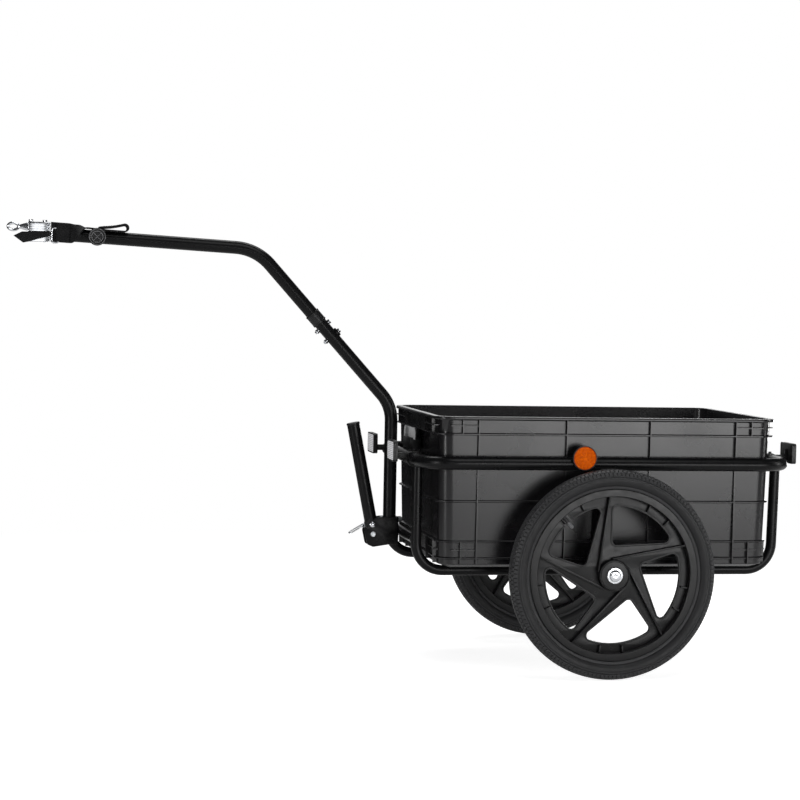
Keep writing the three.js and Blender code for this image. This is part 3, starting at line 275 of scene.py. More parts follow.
def new_finish(name, slot_name, code, roughness, metallic=0.0, specular=0.5):
    """A named material with its plain values. Its tree, its shader and the place on the piece come back."""
    material = bpy.data.materials.new(name)
    material.use_nodes = True
    tree = material.node_tree
    shader = tree.nodes["Principled BSDF"]
    shader.inputs["Base Color"].default_value = colour(code)
    shader.inputs["Roughness"].default_value = roughness
    shader.inputs["Metallic"].default_value = metallic
    shader.inputs["Specular IOR Level"].default_value = specular
    material.diffuse_color = colour(code)
    finishes[name] = material
    print("finish", name, "for", slot_name)
    return tree, shader, add(tree, "ShaderNodeTexCoord").outputs["Object"]


def uneven_gloss(tree, shader, place, size, low, high, detail=4.0):
    """Patches of one size in which the roughness wanders between two values. Their noise comes back."""
    noise = add(tree, "ShaderNodeTexNoise", values={"Scale": grain(size), "Detail": detail},
                links={"Vector": place})
    add(tree, "ShaderNodeMapRange", values={"From Min": 0.3, "From Max": 0.7, "To Min": low, "To Max": high},
        links={"Value": noise.outputs["Fac"]}, into={"Result": shader.inputs["Roughness"]})
    return noise.outputs["Fac"]


# %% [markdown]
# ### Black powder coat on the steel tubes
# Powder is baked into a satin skin with a shallow orange peel of about 3 mm.
# It could be one black with a gloss value, but then the tubes look drawn with a ruler.
# The peel and the uneven gloss give the eye a soft long highlight that breaks up a little.

# %% Black powder coat
tree, shader, place = new_finish("black_powder_coat", "frame_paint", "0c0c0d", 0.28, specular=0.16)
uneven_gloss(tree, shader, place, 22, 0.25, 0.33)
cloud = add(tree, "ShaderNodeTexNoise", values={"Scale": grain(60), "Detail": 3.0}, links={"Vector": place})
add(tree, "ShaderNodeMix", settings={"data_type": "RGBA"},
    values={"A": colour("0a0a0b"), "B": colour("111112")},
    links={"Factor": cloud.outputs["Fac"]}, into={"Result": shader.inputs["Base Color"]})
peel = add(tree, "ShaderNodeTexNoise", values={"Scale": grain(3), "Detail": 1.0}, links={"Vector": place})
add(tree, "ShaderNodeBump", values={"Distance": 0.006 / metre},
    links={"Height": peel.outputs["Fac"]}, into={"Normal": shader.inputs["Normal"]})

# %% [markdown]
# ### Moulded polypropylene of the box
# The walls have a fine spark-eroded grain, with flow clouds a hand wide from the moulding.
# Real spark grain is a few tenths of a millimetre. It is drawn at 0.9 mm, so that it shows.
# Noise at both sizes is enough, because the mould leaves no direction in the surface.
# The eye gets wide panels that are grey and soft, while ribs and lips stay darker.

# %% Box plastic
tree, shader, place = new_finish("moulded_polypropylene", "box_plastic", "121113", 0.26)
uneven_gloss(tree, shader, place, 90, 0.23, 0.29)
flow = add(tree, "ShaderNodeTexNoise", values={"Scale": grain(180), "Detail": 5.0, "Distortion": 0.6},
           links={"Vector": place})
add(tree, "ShaderNodeMix", settings={"data_type": "RGBA"},
    values={"A": colour("0e0d0f"), "B": colour("171618")},
    links={"Factor": flow.outputs["Fac"]}, into={"Result": shader.inputs["Base Color"]})
spark = add(tree, "ShaderNodeTexNoise", values={"Scale": grain(0.9), "Detail": 3.0}, links={"Vector": place})
add(tree, "ShaderNodeBump", values={"Distance": 0.012 / metre},
    links={"Height": spark.outputs["Fac"]}, into={"Normal": shader.inputs["Normal"]})

# %% [markdown]
# ### Glass-filled nylon of the wheels
# The wheel is tougher and darker than the box. Glass fibres leave drawn-out flow marks and a leathery skin.
# A distorted noise gives the marks, and a fine bump the skin.
# The eye gets a deep black whose highlights are broad and a little greasy.

# %% Wheel nylon
tree, shader, place = new_finish("glass_filled_nylon", "wheel_nylon", "0c0c0d", 0.34, specular=0.28)
uneven_gloss(tree, shader, place, 14, 0.28, 0.38)
flow = add(tree, "ShaderNodeTexNoise", values={"Scale": grain(35), "Detail": 5.0, "Distortion": 1.2},
           links={"Vector": place})
add(tree, "ShaderNodeMix", settings={"data_type": "RGBA"},
    values={"A": colour("070708"), "B": colour("0f0f10")},
    links={"Factor": flow.outputs["Fac"]}, into={"Result": shader.inputs["Base Color"]})
skin = add(tree, "ShaderNodeTexNoise", values={"Scale": grain(0.8), "Detail": 2.0}, links={"Vector": place})
add(tree, "ShaderNodeBump", values={"Distance": 0.02 / metre},
    links={"Height": skin.outputs["Fac"]}, into={"Normal": shader.inputs["Normal"]})

# %% [markdown]
# ### Tyre rubber
# New rubber is nearly matt, with a faint bloom that greys it in patches.
# The bloom could be a pale dust layer. A blend of two greys does the same with less.
# The eye gets a wall greyer than the wheel, with a little sheen where it turns away.

# %% Tyre rubber
tree, shader, place = new_finish("tyre_rubber", "tyre_rubber", "1c1c1d", 0.48, specular=0.22)
uneven_gloss(tree, shader, place, 9, 0.42, 0.54)
bloom = add(tree, "ShaderNodeTexNoise", values={"Scale": grain(30), "Detail": 6.0}, links={"Vector": place})
add(tree, "ShaderNodeMix", settings={"data_type": "RGBA"},
    values={"A": colour("19191a"), "B": colour("272728")},
    links={"Factor": bloom.outputs["Fac"]}, into={"Result": shader.inputs["Base Color"]})
shader.inputs["Sheen Weight"].default_value = 0.04
shader.inputs["Sheen Roughness"].default_value = 0.5
pores = add(tree, "ShaderNodeTexNoise", values={"Scale": grain(1.1), "Detail": 4.0}, links={"Vector": place})
add(tree, "ShaderNodeBump", values={"Distance": 0.03 / metre},
    links={"Height": pores.outputs["Fac"]}, into={"Normal": shader.inputs["Normal"]})

# %% [markdown]
# ### Tread rubber
# The blocks are the same rubber. Their faces are painted a paler grey than the walls, and made a little
# duller.
# The paler grey is painted light: it stands in for the light on the block faces, with the grooves left in
# shade.
# The grooves could be painted darker with a mask. Two finishes on two pieces need none.
# The eye reads the grooves as dark lines between paler blocks.

# %% Tread rubber
# Painted light: the paler grey of the blocks stands in for the light that falls on their faces.
tree, shader, place = new_finish("tread_rubber_painted_lit", "tyre_rubber", "343435", 0.5, specular=0.25)
painted_lit_patches = uneven_gloss(tree, shader, place, 11, 0.46, 0.6)
add(tree, "ShaderNodeMix", settings={"data_type": "RGBA"},
    values={"A": colour("2c2c2d"), "B": colour("3e3e3f")},
    links={"Factor": painted_lit_patches}, into={"Result": shader.inputs["Base Color"]})

# %% [markdown]
# ### Butyl rubber of the inner tube
# Butyl is smoother than the tyre, but talc is left on it from packing.
# The same noise moves gloss and grey together, because talc makes a spot both paler and duller.

# %% Tube rubber
tree, shader, place = new_finish("butyl_rubber", "tube_rubber", "2a2a2a", 0.6)
talc = uneven_gloss(tree, shader, place, 5, 0.5, 0.75)
add(tree, "ShaderNodeMix", settings={"data_type": "RGBA"},
    values={"A": colour("202021"), "B": colour("38383a")},
    links={"Factor": talc}, into={"Result": shader.inputs["Base Color"]})

# %% [markdown]
# ### Chrome, zinc and bearing steel
# Chrome mirrors the studio with faint polishing marks. Zinc plate is duller and clouded.
# Bearing steel is ground in lines too fine to show, so its roughness wanders over 1.2 mm instead.
# All three are metals with their own colour, so only roughness, tint and a slight bump tell them apart.

# %% Plated steels
tree, shader, place = new_finish("chrome_plate", "chrome_steel", "d9dbde", 0.14, metallic=1.0)
uneven_gloss(tree, shader, place, 12, 0.1, 0.2)
marks = add(tree, "ShaderNodeTexNoise", values={"Scale": grain(2.5), "Detail": 3.0}, links={"Vector": place})
add(tree, "ShaderNodeBump", values={"Distance": 0.002 / metre},
    links={"Height": marks.outputs["Fac"]}, into={"Normal": shader.inputs["Normal"]})

tree, shader, place = new_finish("zinc_plate", "zinc_steel", "b9bcc0", 0.35, metallic=1.0)
spangle = uneven_gloss(tree, shader, place, 4, 0.28, 0.48)
add(tree, "ShaderNodeMix", settings={"data_type": "RGBA"},
    values={"A": colour("a9acb0"), "B": colour("c6c8ca")},
    links={"Factor": spangle}, into={"Result": shader.inputs["Base Color"]})

tree, shader, place = new_finish("ground_steel", "bearing_steel", "9da0a4", 0.3, metallic=1.0)
uneven_gloss(tree, shader, place, 1.2, 0.22, 0.4, detail=6.0)

# %% [markdown]
# ### Black and grey moulded plastics
# Caps, knobs and reflector housings come out of polished moulds, so they shine a little more than the box.
# The valve cap and the knob's raised marks get a pale grey finish of their own: on the cap it is the
# plastic's own grey, on the marks a painted highlight along their edges.
# The stop plate's nylon is pale and speckled, and the eye reads its specks as a rough, dusty face.

# %% Small plastics
tree, shader, place = new_finish("black_abs", "black_plastic", "101011", 0.36, specular=0.35)
uneven_gloss(tree, shader, place, 6, 0.3, 0.44)
fine = add(tree, "ShaderNodeTexNoise", values={"Scale": grain(0.7), "Detail": 2.0}, links={"Vector": place})
add(tree, "ShaderNodeBump", values={"Distance": 0.015 / metre},
    links={"Height": fine.outputs["Fac"]}, into={"Normal": shader.inputs["Normal"]})

# A pale grey: the valve cap's own colour, and a painted highlight on the knob's raised marks.
tree, shader, place = new_finish("grey_abs_and_painted_highlight", "black_plastic", "6a6a6c", 0.4)
uneven_gloss(tree, shader, place, 4, 0.34, 0.48)

tree, shader, place = new_finish("grey_nylon", "grey_plastic", "737375", 0.45)
uneven_gloss(tree, shader, place, 8, 0.38, 0.55)
speck = add(tree, "ShaderNodeTexNoise", values={"Scale": grain(1.6), "Detail": 2.0}, links={"Vector": place})
add(tree, "ShaderNodeMix", settings={"data_type": "RGBA"},
    values={"A": colour("8c8c8e"), "B": colour("f0f0f0")},
    links={"Factor": speck.outputs["Fac"]}, into={"Result": shader.inputs["Base Color"]})

# %% [markdown]
# ### Woven polyester webbing
# The strap is woven of thick yarn. Two crossed waves, multiplied, are high where a yarn comes up.
# Their coordinates run along and across the strap, in metres, from its own UV map, so they follow every bend.
# Real yarn is about half as thick. It is drawn coarser here, because finer yarn doesn't show.

# %% Webbing
bands_per_turn = 20


def band_scale(size):
    """The Wave texture's scale for bands of this size in millimetres. It draws 20 bands on two pi."""
    return 2 * math.pi / bands_per_turn * metre / size


tree, shader, place = new_finish("woven_polyester", "webbing", "0d0d0e", 0.85, specular=0.3)
laid = add(tree, "ShaderNodeUVMap", settings={"uv_map": "laid"}).outputs["UV"]
warp = add(tree, "ShaderNodeTexWave", settings={"bands_direction": "Y"},
           values={"Scale": band_scale(3.157), "Distortion": 0.4, "Detail": 1.0}, links={"Vector": laid})
weft = add(tree, "ShaderNodeTexWave", settings={"bands_direction": "X"},
           values={"Scale": band_scale(2.17), "Distortion": 0.4, "Detail": 1.0}, links={"Vector": laid})
weave = add(tree, "ShaderNodeMath", settings={"operation": "MULTIPLY"},
            links={0: warp.outputs["Fac"], 1: weft.outputs["Fac"]})
add(tree, "ShaderNodeMix", settings={"data_type": "RGBA"},
    values={"A": colour("080809"), "B": colour("131315")},
    links={"Factor": weave.outputs["Value"]}, into={"Result": shader.inputs["Base Color"]})
shader.inputs["Sheen Weight"].default_value = 0.08
shader.inputs["Sheen Roughness"].default_value = 0.4
add(tree, "ShaderNodeBump", values={"Distance": 0.35 / metre},
    links={"Height": weave.outputs["Value"]}, into={"Normal": shader.inputs["Normal"]})

# %% [markdown]
# ### Reflector lenses
# A reflector is clear plastic with tiny cube corners behind its face, which send light straight back.
# Modelling thousands of corners would cost far more than it shows, so a cell pattern draws their net.
# A weak glow in the same colours stands in for the light that comes back to the camera.
# The amber one on the side is the only strong colour from this side of the trailer.

# %% Lenses
def lens(name, slot_name, dark, light, roughness, cell, returned, gloss):
    """A lens from dark lines to light cells of one size in millimetres, with the light that it returns."""
    tree, shader, place = new_finish(name, slot_name, light, roughness, specular=gloss)
    net = add(tree, "ShaderNodeTexVoronoi", values={"Scale": grain(cell), "Randomness": 0.15},
              links={"Vector": place})
    span = add(tree, "ShaderNodeMapRange", values={"From Min": 0.1, "From Max": 0.6},
               links={"Value": net.outputs["Distance"]})
    mix = add(tree, "ShaderNodeMix", settings={"data_type": "RGBA"},
              values={"A": colour(light), "B": colour(dark)},
              links={"Factor": span.outputs["Result"]}, into={"Result": shader.inputs["Base Color"]})
    tree.links.new(mix.outputs["Result"], shader.inputs["Emission Color"])
    shader.inputs["Emission Strength"].default_value = returned
    add(tree, "ShaderNodeBump", values={"Distance": 0.3 / metre},
        links={"Height": net.outputs["Distance"]}, into={"Normal": shader.inputs["Normal"]})


lens("clear_reflector", "clear_lens", "88888c", "ffffff", 0.3, 3.6, 0.46, 0.25)
lens("red_reflector", "red_lens", "6a0a10", "b3161d", 0.25, 2.4, 0.3, 0.25)
lens("amber_reflector", "amber_lens", "a03400", "fa8400", 0.4, 2.6, 0.22, 0.05)
print("finishes:", len(finishes))

# %% [markdown]
# ## Tubes of the frame
# The frame is a level ring of 25 mm tube that the box drops into, on two 20 mm hoops.
# Each hoop is one bent tube welded under the ring at its front and rear.
# Three straight tubes tie the hoops together. The bends are drawn with the bender's own radii.

# %% Ring, hoops and cross tubes
ring_z, ring_side, ring_radius = 403.7, 230, 12.5
ring_front, ring_rear = -351, 369
ring_line = bend([(ring_front, -ring_side, ring_z), (ring_rear, -ring_side, ring_z),
                  (ring_rear, ring_side, ring_z), (ring_front, ring_side, ring_z)], 64, 16, closed=True)
finish("ring_tube", tube(ring_line, ring_radius, closed=True, detail=10), "black_powder_coat",
       stands_for=["frame_ring"])

hoop_side, hoop_radius, hoop_rear, hoop_z = 150, 10, 366, 192
for side, label in ((-1, "left"), (1, "right")):
    y = side * hoop_side
    line = bend([(ring_front, y, ring_z - 6), (ring_front, y, hoop_z), (hoop_rear - 5, y, hoop_z),
                 (hoop_rear, y, ring_z - 6)], 52, 14)
    finish(f"hoop_tube_{label}", tube(line, hoop_radius, detail=9), "black_powder_coat",
           stands_for=[f"hoop_{label}"])

crossings = {"cross_tube_front": (-350.2, 251), "cross_tube_rear": (269, hoop_z), "axle_beam": (0, hoop_z)}
cross_half = hoop_side - 6
for name, (x, z) in crossings.items():
    rod = tube([(x, -cross_half, z), (x, 0, z), (x, cross_half, z)], hoop_radius, detail=9)
    finish(f"{name}_tube", rod, "black_powder_coat", stands_for=[name])

# %% [markdown]
# ### Weld beads
# The tubes meet in fillet welds under the paint. A bead could be a bump in the paint's material,
# but then its outline would stay straight. So it is a thin ring whose height ripples,
# one ripple for each pause of the welder's torch.

# %% Weld beads
def bead(centre, direction, radius, size=1.9, ripples=18, steps=72):
    """A rippled ring round a tube that ends at this place."""
    ripple_height = 0.28
    across = Vector(direction).orthogonal().normalized()
    line = [Vector(centre) + Matrix.Rotation(2 * math.pi * i / steps, 3, Vector(direction)) @ across * radius
            for i in range(steps)]
    shape = tube(line, size, closed=True, detail=3)
    for vert in shape.verts:
        out = vert.co - Vector(centre)
        angle = math.atan2(out.dot(Vector(direction).normalized().cross(across)), out.dot(across))
        vert.co += out.normalized() * ripple_height * math.sin(ripples * angle)
    return shape


beads = []
for side in (-1, 1):
    for x in (ring_front, hoop_rear):
        beads.append(bead((x, side * hoop_side, ring_z - 10.2), (0, 0, 1), 9.6))
    for x, z in crossings.values():
        beads.append(bead((x, side * (hoop_side - 8.4), z), (0, 1, 0), 9.3))
finish("weld_beads", merged(beads), "black_powder_coat", angle=60)
print("frame pieces:", len(made))

# %% [markdown]
# ## Axle brackets
# A flat steel strip is bent under the hoops and stands up to the ring. It carries the stub axle in a hole.
# Its upright leg is a plate with that hole, its foot a flat block, and two short welds hold it to the hoop.

# %% Axle brackets
axle_z = 199.5
axle_radius = 6.3


def axle_bracket(side):
    """The leg, foot and welds of one bracket, on the left for -1 and on the right for 1."""
    foot_low, foot_high = 177.7, 181.7
    leg_side, inner_side = side * 239.5, side * 140
    outline = [(-30, foot_low), (30, foot_low), (30, foot_high), (13, 232), (13, ring_z - 2),
               (-13, ring_z - 2), (-13, 232), (-30, foot_high)]
    hole = [(axle_radius * math.cos(t * math.pi / 12), axle_z + axle_radius * math.sin(t * math.pi / 12))
            for t in range(24)]
    leg = moved(plate([outline, hole], 4, edge=0.5), shift(0, side * 237.5, 0) @ upright)
    foot = block((-30, min(inner_side, leg_side), foot_low), (30, max(inner_side, leg_side), foot_high), 0.6)
    welds = [block((x - 1.5, side * hoop_side - 9, 181.2), (x + 1.5, side * hoop_side + 9, 184.6), 1.2)
             for x in (-28, 28)]
    return merged([leg, foot, *welds])


for side, label in ((-1, "left"), (1, "right")):
    finish(f"bracket_strip_{label}", axle_bracket(side), "black_powder_coat",
           stands_for=[f"axle_bracket_{label}"])

# %% [markdown]
# ## Box
# The box is one moulding. Its walls lean out by a degree or two, so that it leaves the mould.
# Lips run round it at four heights, ribs stand between them, and the corners have a grid of short ribs.
# It could be a cube that is inset and extruded, but the lips would need many cuts.
# So it is one skin of rounded rings, up the outside from the floor, over the rim and down the inside.

# %% Box skin
box_bottom, box_top = 202.3, 491.5
box_middle = 7


def wall_at(z):
    """Half the length and half the width of the box at one height."""
    share = (z - box_bottom) / (box_top - box_bottom)
    return 322 + 7 * share, 207 + 9 * share


def box_ring(z, reach, steps=10):
    """Places round the box at one height, standing off its wall."""
    half_length, half_width = wall_at(z)
    corner = 26 + reach
    x, y = half_length + reach - corner, half_width + reach - corner
    places = []
    for quarter, (sign_x, sign_y) in enumerate(((1, 1), (-1, 1), (-1, -1), (1, -1))):
        for step in range(steps + 1):
            angle = (quarter + step / steps) * math.pi / 2
            places.append((box_middle + sign_x * x + corner * math.cos(angle),
                           sign_y * y + corner * math.sin(angle), z))
    return places


def loft(rings):
    """A skin through rings that all have the same number of places, closed at both ends."""
    shape = bmesh.new()
    loops = []
    for places in rings:
        knots = [shape.verts.new(place) for place in places]
        loops.append([shape.edges.new((knots[i], knots[(i + 1) % len(knots)])) for i in range(len(knots))])
    for first, second in zip(loops, loops[1:]):
        bmesh.ops.bridge_loops(shape, edges=first + second)
    for loop in (loops[0], loops[-1]):
        bmesh.ops.contextual_create(shape, geom=loop)
    return shape


def lip(z, reach, half=2.5):
    """Heights and reaches of one rounded lip round the box."""
    return [(z - half, 0), (z - half + 0.4, 0.5), (z - half * 0.5, reach - 0.5), (z - half * 0.34, reach),
            (z + half * 0.34, reach), (z + half * 0.5, reach - 0.5), (z + half - 0.4, 0.5), (z + half, 0)]


outside = [(box_bottom, -20), (box_bottom + 0.9, -17.5), (box_bottom + 5.4, -4.6), (box_bottom + 6.4, -1.2),
           (box_bottom + 8, 0)]
for z, reach in ((221, 5), (253, 5), (330, 5), (458, 9)):
    outside += lip(z, reach)
outside += [(box_top - 7.5, 0), (box_top - 6.4, 0.6), (box_top - 6, 2), (box_top - 6, 8.2),
            (box_top - 5.6, 8.8), (box_top - 5, 9), (box_top - 2.6, 9), (box_top - 1.4, 8.7),
            (box_top - 0.6, 8), (box_top - 0.1, 6.6), (box_top, 5)]
inside = [(box_top, -2), (box_top - 0.4, -2.8), (box_top - 1.2, -3), (box_bottom + 16, -3),
          (box_bottom + 10.4, -5), (box_bottom + 5, -17.5), (box_bottom + 4, -22)]
box_skin = loft([box_ring(z, reach) for z, reach in outside + inside])
print("box skin:", len(outside), "rings outside,", len(inside), "inside")

# %% [markdown]
# ### Ribs of the box
# The upright ribs are thin blades, 8 mm deep, so each throws a black line on the wall beside it.
# Beside the ring they stay shallow, because the box is lifted out past it.
# Each end has a wide rib in its middle, and near the corners short level ribs make a grid between the lips.
# A rib is a small skin through a few sections, because a block couldn't follow the leaning wall.

# %% Box ribs
ring_inside = 216.9
blade, shallow = 8.0, 3.0
over_ring = 417


def upright_rib(along, side, on_end, low, high, width=2.6, reach=blade):
    """A blade up one wall. On a side wall it stays inside the ring until it is above it."""
    heights = [low, high] if on_end else [low, *[z for z in (263, 416.6, 418) if low < z < high], high]
    rings = []
    for z in heights:
        half_length, half_width = wall_at(z)
        face = half_length if on_end else half_width
        edge = face + reach if on_end or z > over_ring else min(face + reach, ring_inside)
        section = [(-width / 2, face - 1.5), (width / 2, face - 1.5), (width / 2 - 0.4, edge),
                   (0.4 - width / 2, edge)]
        if on_end:
            rings.append([(box_middle + side * out, along + across, z) for across, out in section])
        else:
            rings.append([(box_middle + along + across, side * out, z) for across, out in section])
    return loft(rings)


def level_rib(start, end, z, side, on_end, reach, height=2.2):
    """A short level blade between two places along one wall."""
    half_length, half_width = wall_at(z)
    face = half_length if on_end else half_width
    inner, outer = sorted((side * (face - 1), side * (face + reach)))
    if on_end:
        low, high = (box_middle + inner, start, z - height / 2), (box_middle + outer, end, z + height / 2)
    else:
        low, high = (box_middle + start, inner, z - height / 2), (box_middle + end, outer, z + height / 2)
    return block(low, high, 0.4, 1)


rib_low, rib_high = box_bottom + 8, box_top - 6
bands = ((rib_low, 253), (458, rib_high))
side_grid, end_grid = 254, 105
ribs = []
for side in (-1, 1):
    for x in (-side_grid, -82.5, 82.5, side_grid):
        ribs.append(upright_rib(x, side, False, rib_low, rib_high))
    for x in (-285, 285):
        ribs += [upright_rib(x, side, False, low, high) for low, high in bands]
    for y in (-175, -end_grid, end_grid, 175):
        ribs += [upright_rib(y, side, True, low, high) for low, high in bands]
    ribs.append(upright_rib(0, side, True, rib_low, rib_high, 16, shallow))
    for z, reach in ((237, 5), (474, blade)):
        half_length, half_width = wall_at(z)
        for end in (-1, 1):
            side_run = sorted((end * side_grid, end * (half_length - 20)))
            end_run = sorted((end * end_grid, end * (half_width - 20)))
            ribs.append(level_rib(*side_run, z, side, False, reach))
            ribs.append(level_rib(*end_run, z, side, True, reach))

print("box ribs:", len(ribs))
finish("box_moulding", merged([box_skin, *ribs]), "moulded_polypropylene", body="box", stands_for=["box_tub"],
       angle=28)

# %% [markdown]
# ## Wheels
# Each wheel is one moulding: a rim channel, a thin web with five big windows, and a rib along each spoke.
# A raised border stiffens the edge of every window, and small gussets tie the web to the rim.
# The wheel is drawn round its own middle as it is seen from the trailer's left.
# The right wheel is the same moulding turned round.
# A window could be cut out of the web, but as a hole in the plate's outline it stays clean and round-edged.

# %% Outline of a window
def polar(radius, degrees):
    """A place in the wheel's plane."""
    return radius * math.cos(math.radians(degrees)), radius * math.sin(math.radians(degrees))


def arc(centre, radius, start, end, steps):
    """Places along an arc, with its angles in radians."""
    return [(centre[0] + radius * math.cos(start + (end - start) * i / steps),
             centre[1] + radius * math.sin(start + (end - start) * i / steps)) for i in range(steps + 1)]


rib_angles = [82.2 + 72 * k for k in range(5)]
valve_angle = 131.7


def window(turn, grow=0.0, notch=False):
    """A rounded triangle with an arched outer side, grown by a border's width."""
    far_turn, tip_turn = 4.1, -47
    arch, corner = 130 + grow, 9 + grow
    near, far, tip = polar(65.5, 1.3), polar(121, far_turn), polar(121, tip_turn)
    left_side = math.atan2(far[1] - near[1], far[0] - near[0]) + math.pi / 2
    low_side = math.atan2(near[1] - tip[1], near[0] - tip[0]) + math.pi / 2
    outer_start, outer_end = math.radians(far_turn), math.radians(tip_turn)
    outer = arc((0, 0), arch, outer_start, outer_end, 24)[1:-1]
    if notch:
        notch_half, notch_top = 10, 145.5
        middle = math.radians(valve_angle - turn)
        half = math.asin(notch_half / arch)
        outer = [p for p in outer if abs(math.atan2(p[1], p[0]) - middle) > half + 0.01]
        place = next(i for i, p in enumerate(outer) if math.atan2(p[1], p[0]) < middle)
        cut = [(math.cos(middle) * r - math.sin(middle) * s, math.sin(middle) * r + math.cos(middle) * s)
               for r, s in ((129.6 + grow, notch_half), (notch_top, notch_half), (notch_top, -notch_half),
                            (129.6 + grow, -notch_half))]
        outer[place:place] = cut
    points = arc(near, corner, low_side, left_side, 8)
    points += arc(far, corner, left_side, outer_start, 6)
    points += outer
    points += arc(tip, corner, outer_end, low_side - 2 * math.pi, 10)
    angle = math.radians(turn)
    return [(x * math.cos(angle) - y * math.sin(angle), x * math.sin(angle) + y * math.cos(angle))
            for x, y in points]


print("a window has", len(window(0)), "places, and", len(window(72, notch=True)), "with the valve's notch")

# %% [markdown]
# ### Wheel moulding
# The rim and the hub are spun, the web is a plate with five holes, and the ribs and gussets are blocks.
# They are simply joined where they overlap, as a boolean would cost time and leave ragged edges.
# Small rings on each spoke mark where the mould's ejector pins pushed the wheel out.

# %% Wheel moulding
def wheel_moulding():
    """One wheel round its own middle, with its axle along Y."""
    rim_half = [(148.4, 8), (148.4, 15.4), (149.5, 16.5), (158.8, 16.5), (161.6, 16.2), (162.8, 15.2),
                (162.9, 14.2), (162.2, 13.5), (153.2, 13.5), (152.5, 12.8)]
    parts = [turned(mirrored_profile(rim_half), 128, closed=True)]
    edge = [polar(149.5, t * 3) for t in range(120)]
    notched = [abs((a - 25 - valve_angle + 180) % 360 - 180) < 30 for a in rib_angles]
    windows = [window(a, notch=n) for a, n in zip(rib_angles, notched)]
    parts.append(moved(plate([edge] + windows, 5, edge=0.7), upright))
    rib_out, rib_deep = 31, 14.5
    rib_reach = math.sqrt(149 ** 2 - rib_out ** 2)
    for a, n in zip(rib_angles, notched):
        border = plate([window(a, 3.6, notch=n), window(a, 0.2, notch=n)], 8, edge=0.6)
        parts.append(moved(border, upright))
        rib = block((2, -rib_deep, rib_out - 1.8), (rib_reach, rib_deep, rib_out + 1.8), 0.5)
        parts.append(moved(rib, turn_about("Y", -a)))
        for offset in (-20, -38):
            gusset = block((134.4, -11.5, -1.3), (149, 11.5, 1.3), 0.4)
            parts.append(moved(gusset, turn_about("Y", -(a + offset))))
        for radius, offset in ((45.8, 1.5), (41, -33), (140, 1), (139.5, -28)):
            x, z = polar(radius, a + offset)
            ring = turned([(2.6, -2.9), (2.6, 2.9), (3.3, 2.9), (3.3, -2.9)], 20, closed=True)
            parts.append(moved(ring, shift(x, 0, z)))
    hub_half = [(14.4, 10.7), (14.4, 18.6), (14.9, 19), (16.8, 19), (17.4, 18.1), (25.6, 17.7), (26.4, 16.4),
                (27.4, 16.4), (27.8, 18.4), (28.6, 18.9), (29.6, 18.4), (30, 17.2)]
    parts.append(turned(mirrored_profile(hub_half), 72, closed=True))
    return merged(parts)


# %% [markdown]
# ### Tyre
# The carcass is one turned skin. The tread is six rows of a hundred and fifty blocks,
# each row set half a block on from the next, with narrow grooves between them.
# Single blocks could be copied round, but their gaps would need care at the seam.
# So a row starts as a plain turned strip, and every face of it is inset and raised at once.

# %% Tyre
blocks_round = 150
tread_edge = [(186.9, 20.6), (193.5, 14.5), (196.3, 7.2), (197, 0)]


def block_row(first, second, count, gap, height, start=0.0):
    """A row of tapered blocks between two (radius, place) edges, turned on by a share of a block."""
    shape = bmesh.new()
    ends = [shape.verts.new((r, y, 0)) for r, y in (first, second)]
    edge = shape.edges.new(ends)
    bmesh.ops.spin(shape, geom=[*ends, edge], cent=(0, 0, 0), axis=(0, 1, 0), angle=2 * math.pi,
                   steps=count, use_merge=True)
    bmesh.ops.remove_doubles(shape, verts=shape.verts, dist=same_place)
    bmesh.ops.recalc_face_normals(shape, faces=shape.faces)
    # An inset raises a face along its normal, so the strip has to face away from the axle first.
    sample = shape.faces[:][0]
    middle = sample.calc_center_median()
    if sample.normal.dot(Vector((middle.x, middle.y * 3, middle.z))) < 0:
        bmesh.ops.reverse_faces(shape, faces=shape.faces)
    bmesh.ops.inset_individual(shape, faces=shape.faces[:], thickness=gap / 2, depth=height)
    return moved(shape, Matrix.Rotation(start * 2 * math.pi / count, 4, "Y"))


def carcass():
    """The tyre's body from bead to bead, with a groove where it meets the rim."""
    half = [(152.8, 8.5), (152.8, 12.9), (153.2, 13.2), (163.4, 13.2), (165.4, 12.4), (167.2, 13.2),
            (168.2, 16), (169.2, 18.6), (171.4, 20.6), (175.5, 22.1), (180, 22.7), (184, 22.4), *tread_edge]
    return turned(half + [(r, -y) for r, y in reversed(half[:-1])], blocks_round, closed=True)


def tread_blocks():
    """Three rows of blocks on each side of the middle, and a fine row on each shoulder."""
    parts = []
    gaps, heights = (2.8, 2.8, 2.4), (2.0, 2.3, 2.3)
    for row, (first, second) in enumerate(zip(tread_edge, tread_edge[1:])):
        for flip in (1, -1):
            low, high = (first[0], first[1] * flip), (second[0], second[1] * flip)
            start = 0.5 * ((row + (flip < 0)) % 2)
            parts.append(block_row(low, high, blocks_round, gaps[row], heights[row], start=start))
    for flip in (1, -1):
        parts.append(block_row((182.6, 22.62 * flip), (184.6, 22.3 * flip), blocks_round * 2, 0.9, 0.4))
    return merged(parts)


# %% [markdown]
# ### Inner tube and valve
# The tube fills the tyre, and only its valve is seen, standing out through the rim into a notched window.
# The rubber foot belongs to the tube. The stem's end and its screwed cap are one small grey piece.
# Both are half outlines that are spun, and the cap's flutes are twelve thin blocks set round it.

# %% Inner tube and valve
at_valve = turn_about("Y", -(valve_angle - 90)) @ upright


def tube_and_valve():
    """The inner tube with the foot of its valve."""
    half = [(153.6, 8.2), (168, 15.5), (182, 16.5), (190, 7.5)]
    neck = [(0, 156), (4, 156), (4, 146), (3.85, 137), (3.5, 133), (2.7, 132.2), (0, 132.2)]
    return merged([turned(mirrored_profile(half), 64, closed=True), moved(turned(neck, 24), at_valve)])


